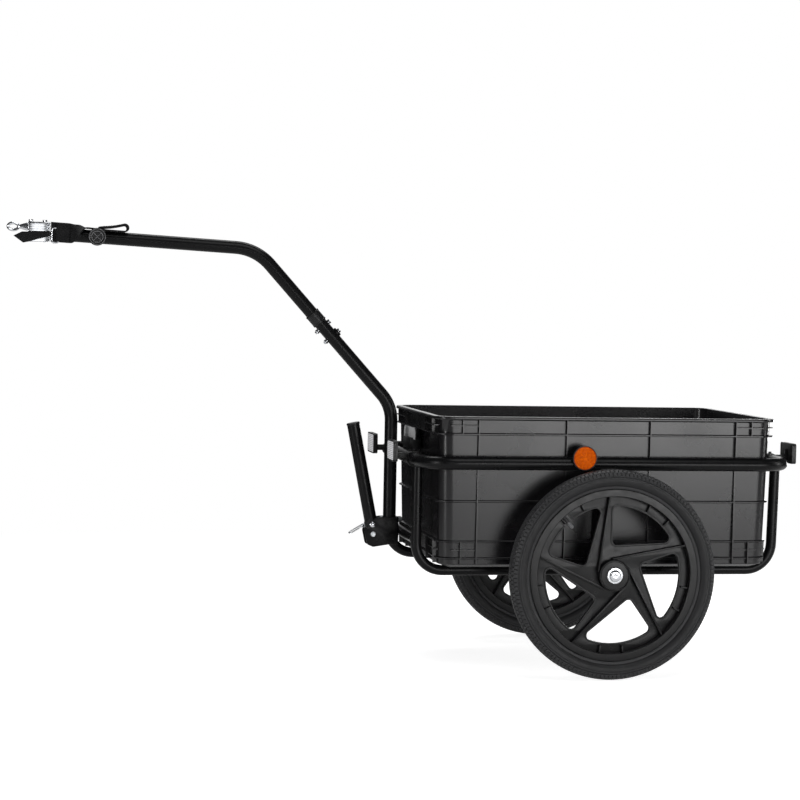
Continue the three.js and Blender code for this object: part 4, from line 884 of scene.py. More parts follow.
def valve_cap():
    """The valve's stem and fluted cap."""
    stem = [(0, 134), (2.5, 134), (2.5, 130.6), (3.2, 130.2), (3.3, 129), (3.1, 128.4), (3.2, 124),
            (2.9, 119.4), (2.2, 118.2), (0, 118)]
    flutes = 12
    parts = [turned(stem, 24)]
    for i in range(flutes):
        flute = block((3.0, 120.5, -0.35), (3.5, 128.2, 0.35), 0.15, 1)
        parts.append(moved(flute, Matrix.Rotation(i * 2 * math.pi / flutes, 4, "Y")))
    return moved(merged(parts), at_valve)


# %% [markdown]
# ### Axle, bearings and dome nut
# A stub axle runs from the bracket through two ball bearings in the hub, and a chromed dome nut ends it.
# The balls can't be seen behind their shields, so a bearing is one ring with a step for each shield.

# %% Stub axle, bearings, dome nut and both wheels
wheel_side = 289


def bearing(place):
    """A shielded bearing at one place along the axle."""
    outline = [(axle_radius, -4), (8.6, -4), (8.9, -3.5), (11.6, -3.5), (11.9, -4), (13.6, -4), (14, -3.6),
               (14, 3.6), (13.6, 4), (11.9, 4), (11.6, 3.5), (8.9, 3.5), (8.6, 4), (axle_radius, 4)]
    return moved(turned(outline, 48, closed=True), shift(0, place, 0))


def stub_axle():
    """The axle with its collar, from the bracket to under the nut."""
    outline = [(0, -53.6), (5.4, -53.6), (6, -53), (6, -49.2), (8.7, -49.2), (9, -48.8), (9, -19.8),
               (8.6, -19.3), (6, -19.3), (6, 20.6), (5.4, 21.2), (0, 21.2)]
    return turned(outline, 40)


def dome_nut():
    """A flange and a low dome, with a dimple in its middle."""
    outline = [(axle_radius, 19.3), (14.6, 19.3), (15, 19.7), (15, 20.3), (14.6, 20.8), (11.2, 20.9),
               (10.7, 21.4), (10, 22.5), (8.2, 23.3), (5, 23.7), (3.4, 23.6), (2.9, 22.7), (0, 22.5)]
    return turned(outline, 56)


for side, label in ((-1, "left"), (1, "right")):
    facing = Matrix.Identity(4) if side < 0 else Matrix.Rotation(math.pi, 4, "Z")
    spot = shift(0, side * wheel_side, axle_z) @ facing
    body = f"wheel_{label}_body"
    finish(f"wheel_moulding_{label}", moved(wheel_moulding(), spot), "glass_filled_nylon", body,
           [f"wheel_{label}"], angle=30)
    finish(f"tyre_carcass_{label}", moved(carcass(), spot), "tyre_rubber", body, [f"tyre_{label}"], angle=30)
    # The tread blocks take the paler rubber, which is painted light on their faces.
    finish(f"tread_blocks_{label}", moved(tread_blocks(), spot), "tread_rubber_painted_lit", body, angle=30)
    finish(f"tube_and_valve_{label}", moved(tube_and_valve(), spot), "butyl_rubber", body,
           [f"inner_tube_{label}"])
    finish(f"valve_cap_{label}", moved(valve_cap(), spot), "grey_abs_and_painted_highlight", body)
    for which, place in (("outer", -15), ("inner", 15)):
        finish(f"bearing_ring_{which}_{label}", moved(bearing(place), spot), "ground_steel", body,
               [f"bearing_{which}_{label}"])
    outward = shift(0, side * wheel_side, axle_z) @ Matrix.Scale(side, 4, (0, 1, 0))
    finish(f"stub_axle_{label}", moved(stub_axle(), outward), "ground_steel", stands_for=[f"spindle_{label}"])
    finish(f"dome_nut_{label}", moved(dome_nut(), outward), "chrome_plate", stands_for=[f"axle_nut_{label}"])

# %% [markdown]
# ## Drawbar
# Two tubes meet in a sleeved joint on the slope. The lower tube stands in front of the ring,
# bends forward at the knee, and the upper one bends level to the hitch.
# The lower tube is open at both ends, so it gets a real wall: two skins whose end loops are bridged.
# The upper tube is pressed flat at its end, which is a skin from a round section to a thin one.

# %% Drawbar tubes
bar_radius = 12.7
bar_end_z = 822.8
knee = Vector((-376.5, 0, 500))
shoulder = Vector((-649, 0, 802.3))
bar_end = Vector((-1045, 0, bar_end_z))
slope = (shoulder - knee).normalized()
joint = knee + slope * 229.1
across_slope = Vector((slope.z, 0, -slope.x))


def bar_z(x):
    """The height of the upper bar's middle at one place along it."""
    return shoulder.z + (bar_end.z - shoulder.z) * (x - shoulder.x) / (bar_end.x - shoulder.x)


def along_joint(distance):
    """A place on the lower tube's middle, this far below the joint."""
    return joint - slope * distance


def frame_at(origin, z_axis):
    """A matrix whose Z runs along one direction and whose Y stays level across the trailer."""
    z_axis = Vector(z_axis).normalized()
    x_axis = Vector((0, 1, 0)).cross(z_axis).normalized()
    y_axis = z_axis.cross(x_axis)
    return Matrix.Translation(origin) @ Matrix((x_axis, y_axis, z_axis)).transposed().to_4x4()


def open_tube(points, radius, wall, detail=9):
    """A tube with a wall: an outer skin, an inner skin and a ring across each end."""
    outer = tube(points, radius, detail=detail)
    inner = tube(points, radius - wall, detail=detail)
    for skin in (outer, inner):
        caps = [face for face in skin.faces if len(face.verts) > 4]
        bmesh.ops.delete(skin, geom=caps, context="FACES_ONLY")
    whole = merged([outer, inner])
    rims = [edge for edge in whole.edges if edge.is_boundary]
    for end in (points[0], points[-1]):
        near = [edge for edge in rims if (edge.verts[0].co - Vector(end)).length < radius * 1.5]
        bmesh.ops.bridge_loops(whole, edges=near)
    return whole


lower_line = bend([(-376.5, 0, 232), knee, joint], 77, 16)
upper_line = bend([joint + slope * 0.3, shoulder, bar_end], 98, 20)
saddle_bump = moved(turned([(0, 10), (9, 10), (9, 15.2), (8.4, 15.8), (0, 15.9)], 36),
                    frame_at(along_joint(48), across_slope) @ upright)
finish("drawbar_lower_tube", merged([open_tube(lower_line, bar_radius, 2), saddle_bump]), "black_powder_coat",
       stands_for=["drawbar_lower"])


def pressed_section(share):
    """The bar's section on its way from round to flat."""
    x = -1030 - 14 * share
    half_wide, half_high = 12.4 + 2.6 * share, 12.4 - 9.6 * share
    return [Vector((x, half_wide * math.cos(t * math.pi / 16),
                    bar_z(x) + half_high * math.sin(t * math.pi / 16))) for t in range(32)]


tongue_tip, tongue_half = -1083, 13
tongue_line = arc((tongue_tip, tongue_half), 5, math.pi / 2, math.pi, 5)
tongue_line += arc((tongue_tip, -tongue_half), 5, math.pi, 1.5 * math.pi, 5)
tongue_line += [(-1052, -18), (-1044, -14), (-1036, -11.6), (-1036, 11.6), (-1044, 14), (-1052, 18)]
tongue = moved(plate([tongue_line], 5.4, edge=0.6), shift(0, 0, bar_end_z))
pressed = loft([pressed_section(quarter / 4) for quarter in range(5)])
finish("drawbar_upper_tube", merged([tube(upper_line, bar_radius, detail=9), tongue, pressed]),
       "black_powder_coat", stands_for=["drawbar_upper"])
print("drawbar slope:", round(math.degrees(math.atan2(slope.z, -slope.x)), 1), "degrees")

# %% [markdown]
# ### Sleeve and cross bolts
# A plastic sleeve covers the gap between the tubes. Two cross bolts hold the lower tube to the spigot inside.
# A bolt is a six-sided cone for its head, a spun washer face, and a spun shank with a few thread turns.
# A real helix would add thousands of faces to a thread that is seen only at its end, so the turns are rings.

# %% Joint sleeve and fasteners
sleeve_line = [(13, -12.5), (14.2, -12.5), (14.8, -11.9), (14.8, -9.6), (14.3, -9.2), (14.3, 9.2),
               (14.8, 9.6), (14.8, 11.9), (14.2, 12.5), (13, 12.5)]
sleeve = moved(turned(sleeve_line, 56, closed=True), frame_at(joint, slope) @ upright)
finish("joint_sleeve", sleeve, "black_abs", stands_for=["joint_collar"])


def hex_prism(radius, low, high, edge=0.5):
    """A six-sided head or nut along Z, with softened edges."""
    shape = bmesh.new()
    bmesh.ops.create_cone(shape, cap_ends=True, segments=6, radius1=radius, radius2=radius, depth=high - low)
    bmesh.ops.translate(shape, vec=(0, 0, (low + high) / 2), verts=shape.verts)
    bmesh.ops.bevel(shape, geom=shape.edges[:], offset=edge, segments=2, affect="EDGES", profile=0.5,
                    material=-1)
    return shape


def bolt(grip, head, reach, radius=3.0, width=5.0):
    """A hexagon bolt along Z: head on top of the grip, shank down to -reach with a few thread turns."""
    pitch, threaded = 0.7, 7
    face = width * 0.94
    washer_face = turned([(0, grip), (face, grip), (face, grip + 0.5), (0, grip + 0.5)], 32)
    z = -reach + threaded
    shank = [(0, grip), (radius, grip), (radius, z)]
    while z > -reach + 0.6:
        shank += [(radius * 0.86, z - pitch / 2), (radius, z - pitch)]
        z -= pitch
    shank += [(radius * 0.7, -reach), (0, -reach)]
    return merged([hex_prism(width, grip + 0.2, grip + head), moved(washer_face, upright),
                   moved(turned(shank, 24), upright)])


def nut(low, high, radius=3.0, width=5.0):
    """A hexagon nut along Z with a washer face below."""
    face = width * 0.98
    ring = turned([(radius, low), (face, low), (face, low + 0.5), (radius, low + 0.5)], 32, closed=True)
    return merged([hex_prism(width, low + 0.2, high), moved(ring, upright)])


for number, distance, seat_height in ((1, 22, 0.3), (2, 48, 3.3)):
    seat = frame_at(along_joint(distance), across_slope)
    finish(f"joint_bolt_head_{number}", moved(bolt(bar_radius + seat_height, 4, 20), seat), "chrome_plate",
           stands_for=[f"joint_bolt_{number}"])
    finish(f"joint_lock_nut_{number}", moved(nut(-17, -13), seat), "chrome_plate",
           stands_for=[f"joint_nut_{number}"])

# %% [markdown]
# ## Stand bracket
# A channel of folded steel holds the foot of the drawbar and the parking stand between its two cheeks.
# Each cheek is a plate with its true outline and a hole for the pivot, joined to a block for the web.
# The anchor bolt ties the drawbar to the web, and a rivet with domed heads is the stand's pivot.

# %% Stand bracket
pivot = Vector((-412.5, 0, 266))
cheek_out = 14.5
cheek_line = [(-360.5, 281), (-394, 281), (-397, 280.7), (-408, 279), (-410, 277.5), (-427.6, 255.6),
              (-428, 252.5), (-423, 229), (-421, 226), (-411.5, 222), (-409, 222), (-376.5, 227),
              (-362, 227), (-360.5, 236)]
cheek_hole = [(pivot.x + x, pivot.z + z) for x, z in arc((0, 0), 4.1, 0, 2 * math.pi, 20)[:-1]]
cheeks = [moved(plate([cheek_line, cheek_hole], 3, edge=0.6), shift(0, side * cheek_out, 0) @ upright)
          for side in (-1, 1)]
web = block((-363.5, -16, 234), (-360.5, 16, 281), 0.6)
finish("bracket_channel", merged([*cheeks, web]), "black_powder_coat", stands_for=["stand_bracket"])

stud_line = [(0, 15), (5, 15), (5, 17), (4.4, 17.5), (0, 17.5)]
studs = [moved(turned(stud_line, 32), shift(-411, 0, 247) @ Matrix.Scale(side, 4, (0, 1, 0)))
         for side in (-1, 1)]
finish("bracket_studs", merged(studs), "zinc_plate")

anchor = frame_at(Vector((-389.5, 0, 275.5)), (-1, 0, 0))
finish("anchor_bolt_head", moved(bolt(0, 6, 38.5, radius=4, width=6.5), anchor), "zinc_plate",
       stands_for=["anchor_bolt"])
finish("anchor_lock_nut", moved(nut(-35.8, -29.3, radius=4, width=6.5), anchor), "zinc_plate",
       stands_for=["anchor_nut"])
rivet = [(0, -19.3), (3.5, -18.8), (5.2, -17.7), (5.8, -16.3), (4, -16.3), (4, 16.3), (5.8, 16.3),
         (5.2, 17.7), (3.5, 18.8), (0, 19.3)]
finish("pivot_rivet_heads", moved(turned(rivet, 32), shift(*pivot)), "chrome_plate",
       stands_for=["pivot_rivet"])

# %% [markdown]
# ### Parking stand
# The leg is a tube with a plastic foot plug. It is folded up here, and leans a little away from the drawbar.
# The pin below it is pulled by a wire loop to let the leg go, so leg, pin and loop ride on three bodies.
# The loop stands just clear of the drawbar and the bracket in every place that the leg and the loop can take.

# %% Parking stand, pull pin and loop
leg_lean = math.radians(11.35)
leg_way = Vector((-math.sin(leg_lean), 0, math.cos(leg_lean)))
pin_way = Vector((-math.cos(leg_lean), 0, -math.sin(leg_lean)))
leg_tube = open_tube([pivot, pivot + leg_way * 199.6], 12.5, 2, detail=10)
knuckle_line = [(4.3, -12.3), (12.2, -12.3), (12.5, -12), (12.5, 12), (12.2, 12.3), (4.3, 12.3)]
knuckle = moved(turned(knuckle_line, 56, closed=True), shift(*pivot))
finish("stand_tube", merged([leg_tube, knuckle]), "black_powder_coat", "stand", ["stand_leg"])
cap = [(0, 186), (9.6, 186), (10.1, 186.6), (10.1, 200.1), (12.9, 200.1), (13.2, 200.5), (13.2, 202.4),
       (12.2, 203.8), (0, 204)]
finish("stand_foot_cap", moved(turned(cap, 48), frame_at(pivot, leg_way) @ upright), "black_abs", "stand",
       ["foot_cap"])

pin_line = [(0, 7), (2.5, 7.2), (2.5, 12.4), (2.6, 12.8), (4, 12.8), (4.3, 13.2), (4.3, 14.4), (3.9, 14.8),
            (3.9, 15.6), (4.2, 16), (4.2, 17.9), (3.6, 18.6), (0, 18.6)]
finish("pull_pin_head", moved(turned(pin_line, 32), frame_at(pivot, pin_way) @ upright), "zinc_plate",
       "stand_pin", ["pull_pin"])

loop_root = Vector((-429.05, 0, 263.5))
loop_droop = math.radians(30)
loop_reach = 31 * Vector((-math.cos(loop_droop), 0, -math.sin(loop_droop)))
loop_side = Vector((0, 10, 0))
loop_line = bend([loop_root - loop_side, loop_root + loop_reach - loop_side,
                  loop_root + loop_reach + loop_side, loop_root + loop_side], 5, 8, closed=True)
finish("pull_loop_wire", tube(loop_line, 1.3, closed=True, detail=4), "chrome_plate", "stand_pin_loop",
       ["pull_loop"])
print("pieces so far:", len(made))

# %% [markdown]
# ## Hitch
# The flattened end of the bar sits between a grooved saddle above and a folded keeper below.
# Two bolts clamp them, and the eye on its swivelling shank comes out at the front.
# Saddle and keeper keep one section along their length, so each is that section given a thickness.

# %% Saddle, keeper and clamp bolts
clamp_place = shift(-1067.15, 0, 0) @ facing_forward
clamp_length, clamp_half = 41.7, 18
saddle_low, saddle_high = 825.8, 844.3
groove_line = []
for share in (0.25, 0.5, 0.75):
    z = saddle_low + (saddle_high - saddle_low) * share
    groove_line += [(-clamp_half, z - 1.3), (1 - clamp_half, z - 0.7), (1 - clamp_half, z + 0.7),
                    (-clamp_half, z + 1.3)]
saddle_half = [(-15.5, saddle_low), (-clamp_half, 827), *groove_line, (-clamp_half, 842), (-17.4, 843.6),
               (-15.8, saddle_high)]
saddle_line = saddle_half + [(-y, z) for y, z in reversed(saddle_half)]
finish("grooved_saddle", moved(plate([saddle_line], clamp_length, edge=0.7), clamp_place), "chrome_plate",
       stands_for=["hitch_saddle"])
keeper_line = [(-clamp_half, 807.4), (-16.2, 807.4), (-15.8, 811), (-14.2, 812.8), (14.2, 812.8), (15.8, 811),
               (16.2, 807.4), (clamp_half, 807.4), (clamp_half, 817.8), (16, 819.8), (-16, 819.8),
               (-clamp_half, 817.8)]
finish("folded_keeper", moved(plate([keeper_line], clamp_length, edge=0.5), clamp_place), "chrome_plate",
       stands_for=["hitch_keeper"])
for number, x, y in ((1, -1083, -10.3), (2, -1056, 10.3)):
    seat = shift(x, y, 0)
    finish(f"clamp_bolt_{number}", moved(bolt(844.6, 4, -806.5), seat), "chrome_plate",
           stands_for=[f"hitch_bolt_{number}"])
    finish(f"clamp_nut_{number}", moved(nut(808.5, 812.5), seat), "chrome_plate",
           stands_for=[f"hitch_nut_{number}"])

# %% [markdown]
# ### Eye
# The eye is forged from round bar, so its ring is thick and smooth, and it runs into a cone at the neck.
# A torus would be round. The real ring is an oval, so a closed tube follows an oval line and is then widened.

# %% Hitch eye
eye_z, eye_x = 835.05, -1116
eye_radius, eye_oval = 10, 0.66
ring_line = [(eye_x + eye_radius * math.cos(t * math.pi / 24), 0,
              eye_z + eye_oval * eye_radius * math.sin(t * math.pi / 24)) for t in range(48)]
eye_ring = tube(ring_line, 2.8, closed=True, detail=5)
bmesh.ops.scale(eye_ring, vec=(1, 1.7, 1), verts=eye_ring.verts)
neck = [(0, 1107), (3.2, 1107), (3.6, 1104), (4.4, 1101.5), (5.8, 1097), (7, 1092.5), (8, 1089.4),
        (8, 1088.6), (7.6, 1088.3), (5, 1088.3), (5, 1054.5), (0, 1054.5)]
neck_place = shift(0, 0, eye_z) @ turn_about("Z", -90)
neck_shape = moved(turned([(radius, -x) for radius, x in neck], 40), neck_place)
finish("forged_eye", merged([eye_ring, neck_shape]), "chrome_plate", "hitch_swivel", ["hitch_eye"])

# %% [markdown]
# ## Safety strap
# One length of webbing lies flat on the near side of the bar, twists over to the top and ends in a sewn loop.
# Cloth simulation would erase so thin and flat a band, so the strap is drawn station by station:
# where its middle is, which way its width runs and which way it faces.
# The section is a thin rounded band, nearly doubled in thickness where the end is folded back on itself.

# %% Strap path
webbing, strap_width, stand_off = 2.6, 38.0, 14.3
second_layer = 2.2


def strap_stations():
    """Middle, width direction, facing direction and thickness at each place along the strap."""
    stations = []

    def lay(x, share):
        """One station on the bar, from its side at a share of 0 to its top at 1."""
        lean = share * math.pi / 2
        out = Vector((0, -math.cos(lean), math.sin(lean)))
        across = Vector((0, math.sin(lean), math.cos(lean)))
        lift = 1.5 * max(0, min(1, (x + 1004) / 26, (-940 - x) / 34))
        slide = 3 * (1 - share) - 6.5 * math.sin(share * math.pi)
        centre = Vector((x, 0, bar_z(x) + lift)) + out * stand_off + across * slide
        stations.append((centre, across, out, webbing))

    for x in (-1045.4, -1038, -1030, -1022):
        lay(x, 0)
    for i in range(25):
        share = i / 24
        lay(-1016 + 40 * share, share * share * (3 - 2 * share))
    for x in (-970, -960, -950, -940, -930, -920, -912, -905):
        lay(x, 1)
    loop_radius = 6.4
    hub = Vector((-905, 0, bar_z(-905) + stand_off + loop_radius))
    for i in range(1, 15):
        angle = -math.pi / 2 + i * math.pi * 1.06 / 14
        out = Vector((-math.cos(angle), 0, -math.sin(angle)))
        stations.append((hub - out * loop_radius, Vector((0, 1, 0)), out, webbing + second_layer * i / 14))
    last = stations[-1]
    tip = Vector((-954, 0, bar_z(-954) + stand_off + webbing + 1.4))
    heading = (tip - last[0]).normalized()
    out = Vector((-heading.z, 0, heading.x))
    out *= 1 if last[2].dot(out) > 0 else -1
    for i in range(1, 11):
        share = i / 10
        sag = out * 1.6 * math.sin(share * math.pi)
        thick = webbing + second_layer - 11 * max(0, share - 0.85)
        stations.append((last[0].lerp(tip, share) + sag, Vector((0, 1, 0)), out, thick))
    return stations


strap_line = strap_stations()
strap_run = sum((b[0] - a[0]).length for a, b in zip(strap_line, strap_line[1:]))
print("strap:", len(strap_line), "stations,", round(strap_run), "mm along")

# %% [markdown]
# ### Webbing band
# The band is lofted through the stations, and each corner's UV is its place along and across the webbing.
# The weave reads that map, so its yarns bend and twist with the strap instead of cutting through it.
# A second short band is the fold that wraps the buckle.

# %% Webbing band
def laid_band(stations, width):
    """A band of webbing with its own coordinates, in metres along and across."""
    shape = bmesh.new()
    layer = shape.loops.layers.uv.new("laid")
    section = [(-0.5, -0.25), (-0.485, -0.5), (-0.25, -0.5), (0, -0.5), (0.25, -0.5), (0.485, -0.5),
               (0.5, -0.25), (0.5, 0.25), (0.485, 0.5), (0.25, 0.5), (0, 0.5), (-0.25, 0.5), (-0.485, 0.5),
               (-0.5, 0.25)]
    loops = []
    laid = {}
    run = 0.0
    before = stations[0][0]
    for centre, across, out, thick in stations:
        run += (centre - before).length
        before = centre
        knots = [shape.verts.new(centre + across * a * width + out * b * thick) for a, b in section]
        for knot, (a, b) in zip(knots, section):
            laid[knot] = (run / metre, a * width / metre)
        loops.append([shape.edges.new((knots[i], knots[(i + 1) % len(knots)])) for i in range(len(knots))])
    for first, second in zip(loops, loops[1:]):
        bmesh.ops.bridge_loops(shape, edges=first + second)
    for loop in (loops[0], loops[-1]):
        bmesh.ops.contextual_create(shape, geom=loop)
    for face in shape.faces:
        for corner in face.loops:
            corner[layer].uv = laid[corner.vert]
    return shape


finish("webbing_strap", laid_band(strap_line, strap_width), "woven_polyester", stands_for=["safety_strap"],
       angle=50)

fold_thick, fold_lift = 2.4, 3
fold_hub = Vector((-1031.2, -18.6, bar_z(-1031) + fold_lift))
upward = Vector((0, 0, 1))
fold_line = []
for i in range(9):
    inward = Vector((math.sin(i * math.pi / 8), -math.cos(i * math.pi / 8), 0))
    fold_line.append((fold_hub - inward * 2.9, upward, inward, fold_thick))
for x, y in ((-1027, -21.4), (-1023, -20.8), (-1019, -19.6), (-1015, -18.6), (-1011, -18)):
    fold_line.append((Vector((x, y, bar_z(x) + fold_lift)), upward, Vector((0, 1, 0)), fold_thick))
finish("strap_fold", laid_band(fold_line, strap_width - 2), "woven_polyester", angle=50)

# %% [markdown]
# ### Stitches and tail
# Rows of thick thread hold the folded end. A bump wouldn't stand proud, so each stitch is a tiny bent tube.
# The tail is a short piece of the same webbing, cut to a point and sealed, with a slight wave in it.

# %% Stitches and strap tail
stitches = []
for centre, across, out, thick in strap_line[-7:-2]:
    under = out * (-thick / 2 - 0.05)
    for place in (-15, -9, -3, 3, 9, 15):
        start = centre + across * (place - 1.3) + under
        end = centre + across * (place + 1.3) + under
        stitches.append(tube([start, (start + end) / 2 - out * 0.25, end], 0.35, detail=1))
stitched = finish("strap_stitches", merged(stitches), "woven_polyester", angle=60)
stitched.data.uv_layers.new(name="laid")

tail_start = -1048
tail_line = [(tail_start, 825.2), (-1100, 825.2), (-1116, 817.2), (-1097.6, 804), (-1088, 806), (-1072, 811),
             (tail_start, 817)]
tail = plate([tail_line], 3.2, edge=0.9)
tail_uv = tail.loops.layers.uv.new("laid")
for face in tail.faces:
    for corner in face.loops:
        corner[tail_uv].uv = (corner.vert.co.x / metre, corner.vert.co.y / metre)
for vert in tail.verts:
    vert.co.z += 0.9 * math.sin((vert.co.x - tail_start) / 14)
finish("pointed_tail", moved(tail, shift(0, -20.7, 0) @ upright), "woven_polyester",
       stands_for=["strap_tail"], angle=50)

# %% [markdown]
# ### Buckle and knob
# The buckle is a rectangle of chromed wire that the fold wraps. The knob on the bar's side is plastic,
# a turned shape, with rings and a cross on its face that are painted pale grey, a painted highlight on their
# raised edges.
# The marks are thin raised pieces of their own, so they can have their own finish.

# %% Wire buckle and knob
buckle_y, buckle_low, buckle_high = -17.4, 805, 833
buckle_line = bend([(-1043.2, buckle_y, buckle_low), (-1031.2, buckle_y, buckle_low),
                    (-1031.2, buckle_y, buckle_high), (-1043.2, buckle_y, buckle_high)], 3.6, 6, closed=True)
finish("wire_buckle", tube(buckle_line, 1.5, closed=True, detail=4), "chrome_plate",
       stands_for=["strap_buckle"])

knob_line = [(0, -6.7), (3, -6.7), (3, -13), (7, -13), (7, -19.4), (8.2, -19.9), (15.8, -19.9),
             (16.8, -20.9), (17, -22), (17, -27.6), (16.6, -28.9), (15.6, -29.7), (14.4, -29.9),
             (13.2, -29.6), (12.6, -28.9), (11.8, -28.6), (8.4, -28.6), (7.8, -28.1), (3, -28), (0, -28)]
knob_spot = shift(-958, 0, bar_z(-958))
finish("turn_knob", moved(turned(knob_line, 64), knob_spot), "black_abs", "knob", ["bar_knob"])
knob_marks = []
for r, y in ((15, 29.8), (10.6, 28.8)):
    mark = [(r - 0.6, -y + 0.4), (r - 0.4, -y - 0.1), (r + 0.4, -y - 0.1), (r + 0.6, -y + 0.4)]
    knob_marks.append(turned(mark, 64, closed=True))
for degrees in (45, 135):
    cross = block((-10.4, -29, -0.45), (10.4, -28.2, 0.45), 0.2, 1)
    knob_marks.append(moved(cross, turn_about("Y", degrees)))
# The marks' pale grey is a painted highlight on their raised edges.
finish("knob_marks", moved(merged(knob_marks), knob_spot), "grey_abs_and_painted_highlight", "knob")
print("hitch and strap done:", len(made), "pieces")

# %% [markdown]
# ## Plate reflectors
# Four plate reflectors stand on short arms clamped to the ring: clear in front, red behind.
# A housing is a back plate, a raised frame, an arm and a cuff round the tube, all of one black moulding.
# The lens lies inside the frame as a piece of its own, with three thin bars across it.

# %% Plate reflectors
plate_width, plate_height, plate_lift = 68, 40, 15.8


def rounded(width, height, corner, steps=6):
    """A rectangle with rounded corners."""
    x, y = width / 2 - corner, height / 2 - corner
    quarters = enumerate(((1, 1), (-1, 1), (-1, -1), (1, -1)))
    return [place for quarter, (side_x, side_y) in quarters
            for place in arc((side_x * x, side_y * y), corner, quarter * math.pi / 2,
                             (quarter + 1) * math.pi / 2, steps)]


def plate_holder(face):
    """A housing and its arm, facing +Y from the ring's own axis."""
    outline = rounded(plate_width, plate_height, 5)
    back = moved(plate([outline], 5.7, edge=0.8), shift(0, face - 9 + 2.85, plate_lift) @ upright)
    opening = rounded(plate_width - 5, plate_height - 5, 5)
    frame_edge = moved(plate([outline, opening], 5, edge=0.7), shift(0, face - 2.5, plate_lift) @ upright)
    arm = block((-7, 2, 1), (7, face - 8.5, 12), 0.9)
    gusset = block((-1.6, face - 14, 10), (1.6, face - 8.5, 24), 0.6)
    cuff = turned([(12.9, -6), (14.7, -6), (15.2, -5.5), (15.2, 5.5), (14.7, 6), (12.9, 6)], 56, closed=True)
    screw = hex_prism(3.4, 15, 18, 0.4)
    return merged([back, frame_edge, arm, gusset, moved(cuff, turn_about("Z", 90)), screw])


def plate_lens(face):
    """A lens with three thin bars, facing +Y."""
    outline = rounded(plate_width - 5.6, plate_height - 5.6, 4.7)
    body = moved(plate([outline], 3, edge=0.6), shift(0, face - 1.5, plate_lift) @ upright)
    low, high = plate_lift - 16.4, plate_lift + 16.4
    bars = [block((x - 0.5, face - 0.5, low), (x + 0.5, face, high), 0.2, 1) for x in (-15.6, 0, 15.6)]
    return merged([body, *bars])


for end, x, turn, face, lens_finish in (("front", ring_front, 90, 46.5, "clear_reflector"),
                                        ("rear", ring_rear, -90, 42.5, "red_reflector")):
    for y, label in ((-112, f"{end}_left"), (112, f"{end}_right")):
        spot = shift(x, y, ring_z) @ turn_about("Z", turn)
        finish(f"plate_holder_{label}", moved(plate_holder(face), spot), "black_abs",
               stands_for=[f"reflector_holder_{label}"])
        finish(f"plate_lens_{label}", moved(plate_lens(face), spot), lens_finish,
               stands_for=[f"reflector_lens_{label}"])

# %% [markdown]
# ### Round side reflectors
# A round amber reflector is clipped on each side rail. Its face has six sectors of fine ridges.
# The ridges could be a bump, but from close by they cast small shadows, so they are thin blocks.
# Each sector's ridges are the same nine, turned on by a sixth.

# %% Round side reflectors
def disc_cup():
    """A black cup facing +Y with a lip round the lens, and the clip that hooks over the rail."""
    cup_line = [(0, 0), (22.6, 0), (23.5, 0.9), (23.5, 7.2), (23, 8), (22.3, 8), (21.9, 7.4), (21.9, 5.6),
                (0, 5.6)]
    return merged([turned(cup_line, 72), block((-8, -10, -0.3), (8, 2, 4.6), 0.6)])


def disc_lens():
    """An amber lens in six sectors, each filled with fine ridges that run across it."""
    sectors, ridge_pitch, ridge_half, field = 6, 2.0, 0.65, 19.8
    lens_line = [(0, 5.8), (21.7, 5.8), (21.7, 7.2), (21.2, 7.8), (20.4, 7.8), (19.9, 6.5), (0, 6.5)]
    parts = [turned(lens_line, 72)]
    for sector in range(sectors):
        turn = Matrix.Rotation(sector * 2 * math.pi / sectors + 0.26, 4, "Y")
        for row in range(1, 10):
            distance = row * ridge_pitch
            half = min(distance * math.tan(math.pi / sectors), math.sqrt(field ** 2 - distance ** 2)) - 0.8
            ridge = block((distance - ridge_half, 6.2, -half), (distance + ridge_half, 7.5, half), 0.35, 1)
            parts.append(moved(ridge, turn))
    return merged(parts)


for side, label in ((-1, "left"), (1, "right")):
    spot = shift(-47, side * 242.8, 416) @ Matrix.Scale(side, 4, (0, 1, 0))
    finish(f"disc_cup_{label}", moved(disc_cup(), spot), "black_abs", stands_for=[f"side_reflector_{label}"])
    finish(f"amber_disc_{label}", moved(disc_lens(), spot), "amber_reflector")

# %% [markdown]
# ## Stop plate
# A black moulded block with a plate and three ribs sits between the front wall of the box and the ring,
# and keeps the box from sliding. A thinner pale speckled plate lies on its face.
# That plate repeats the block's outline a little smaller, so the two stay in line.

# %% Stop plate
stop_line = [(-60, 436), (60, 436), (60, 450), (59, 453), (53, 459), (50, 460), (-50, 460), (-53, 459),
             (-59, 453), (-60, 450)]
stop_ribs = [block((-336.4, y - 1.2, 438), (-326, y + 1.2, 452), 0.5) for y in (-30, 0, 30)]
stop = merged([block((-345, -40, 416.6), (-324, 40, 439), 1.0),
               moved(plate([stop_line], 2.4, edge=0.7), shift(-337.2, 0, 0) @ facing_forward),
               *stop_ribs])
finish("stop_block", stop, "black_abs", stands_for=["box_stop"])
narrower, lower, raised_by = 0.96, 0.94, 26.8
face_line = [(y * narrower, z * lower + raised_by) for y, z in stop_line]
finish("stop_face", moved(plate([face_line], 1.2), shift(-338.8, 0, 0) @ facing_forward), "grey_nylon")
triangles = sum(len(piece.data.loops) - 2 * len(piece.data.polygons) for piece in made)
print("all pieces:", len(made), "with about", triangles, "triangles")

# %% [markdown]
# ## Studio floor
# The photograph is a catalogue picture on pure white, with only a faint shadow under the wheels.
# A floor bright enough to be white would also flood the trailer with light from below.
# So the paper bounces light as plain diffuse paper, and only what the camera sees is lifted to white.
# In mirror rays the same paper is lifted a little near the trailer and falls dark further out,
# which keeps the black plastic black where it reflects the floor at a low angle.

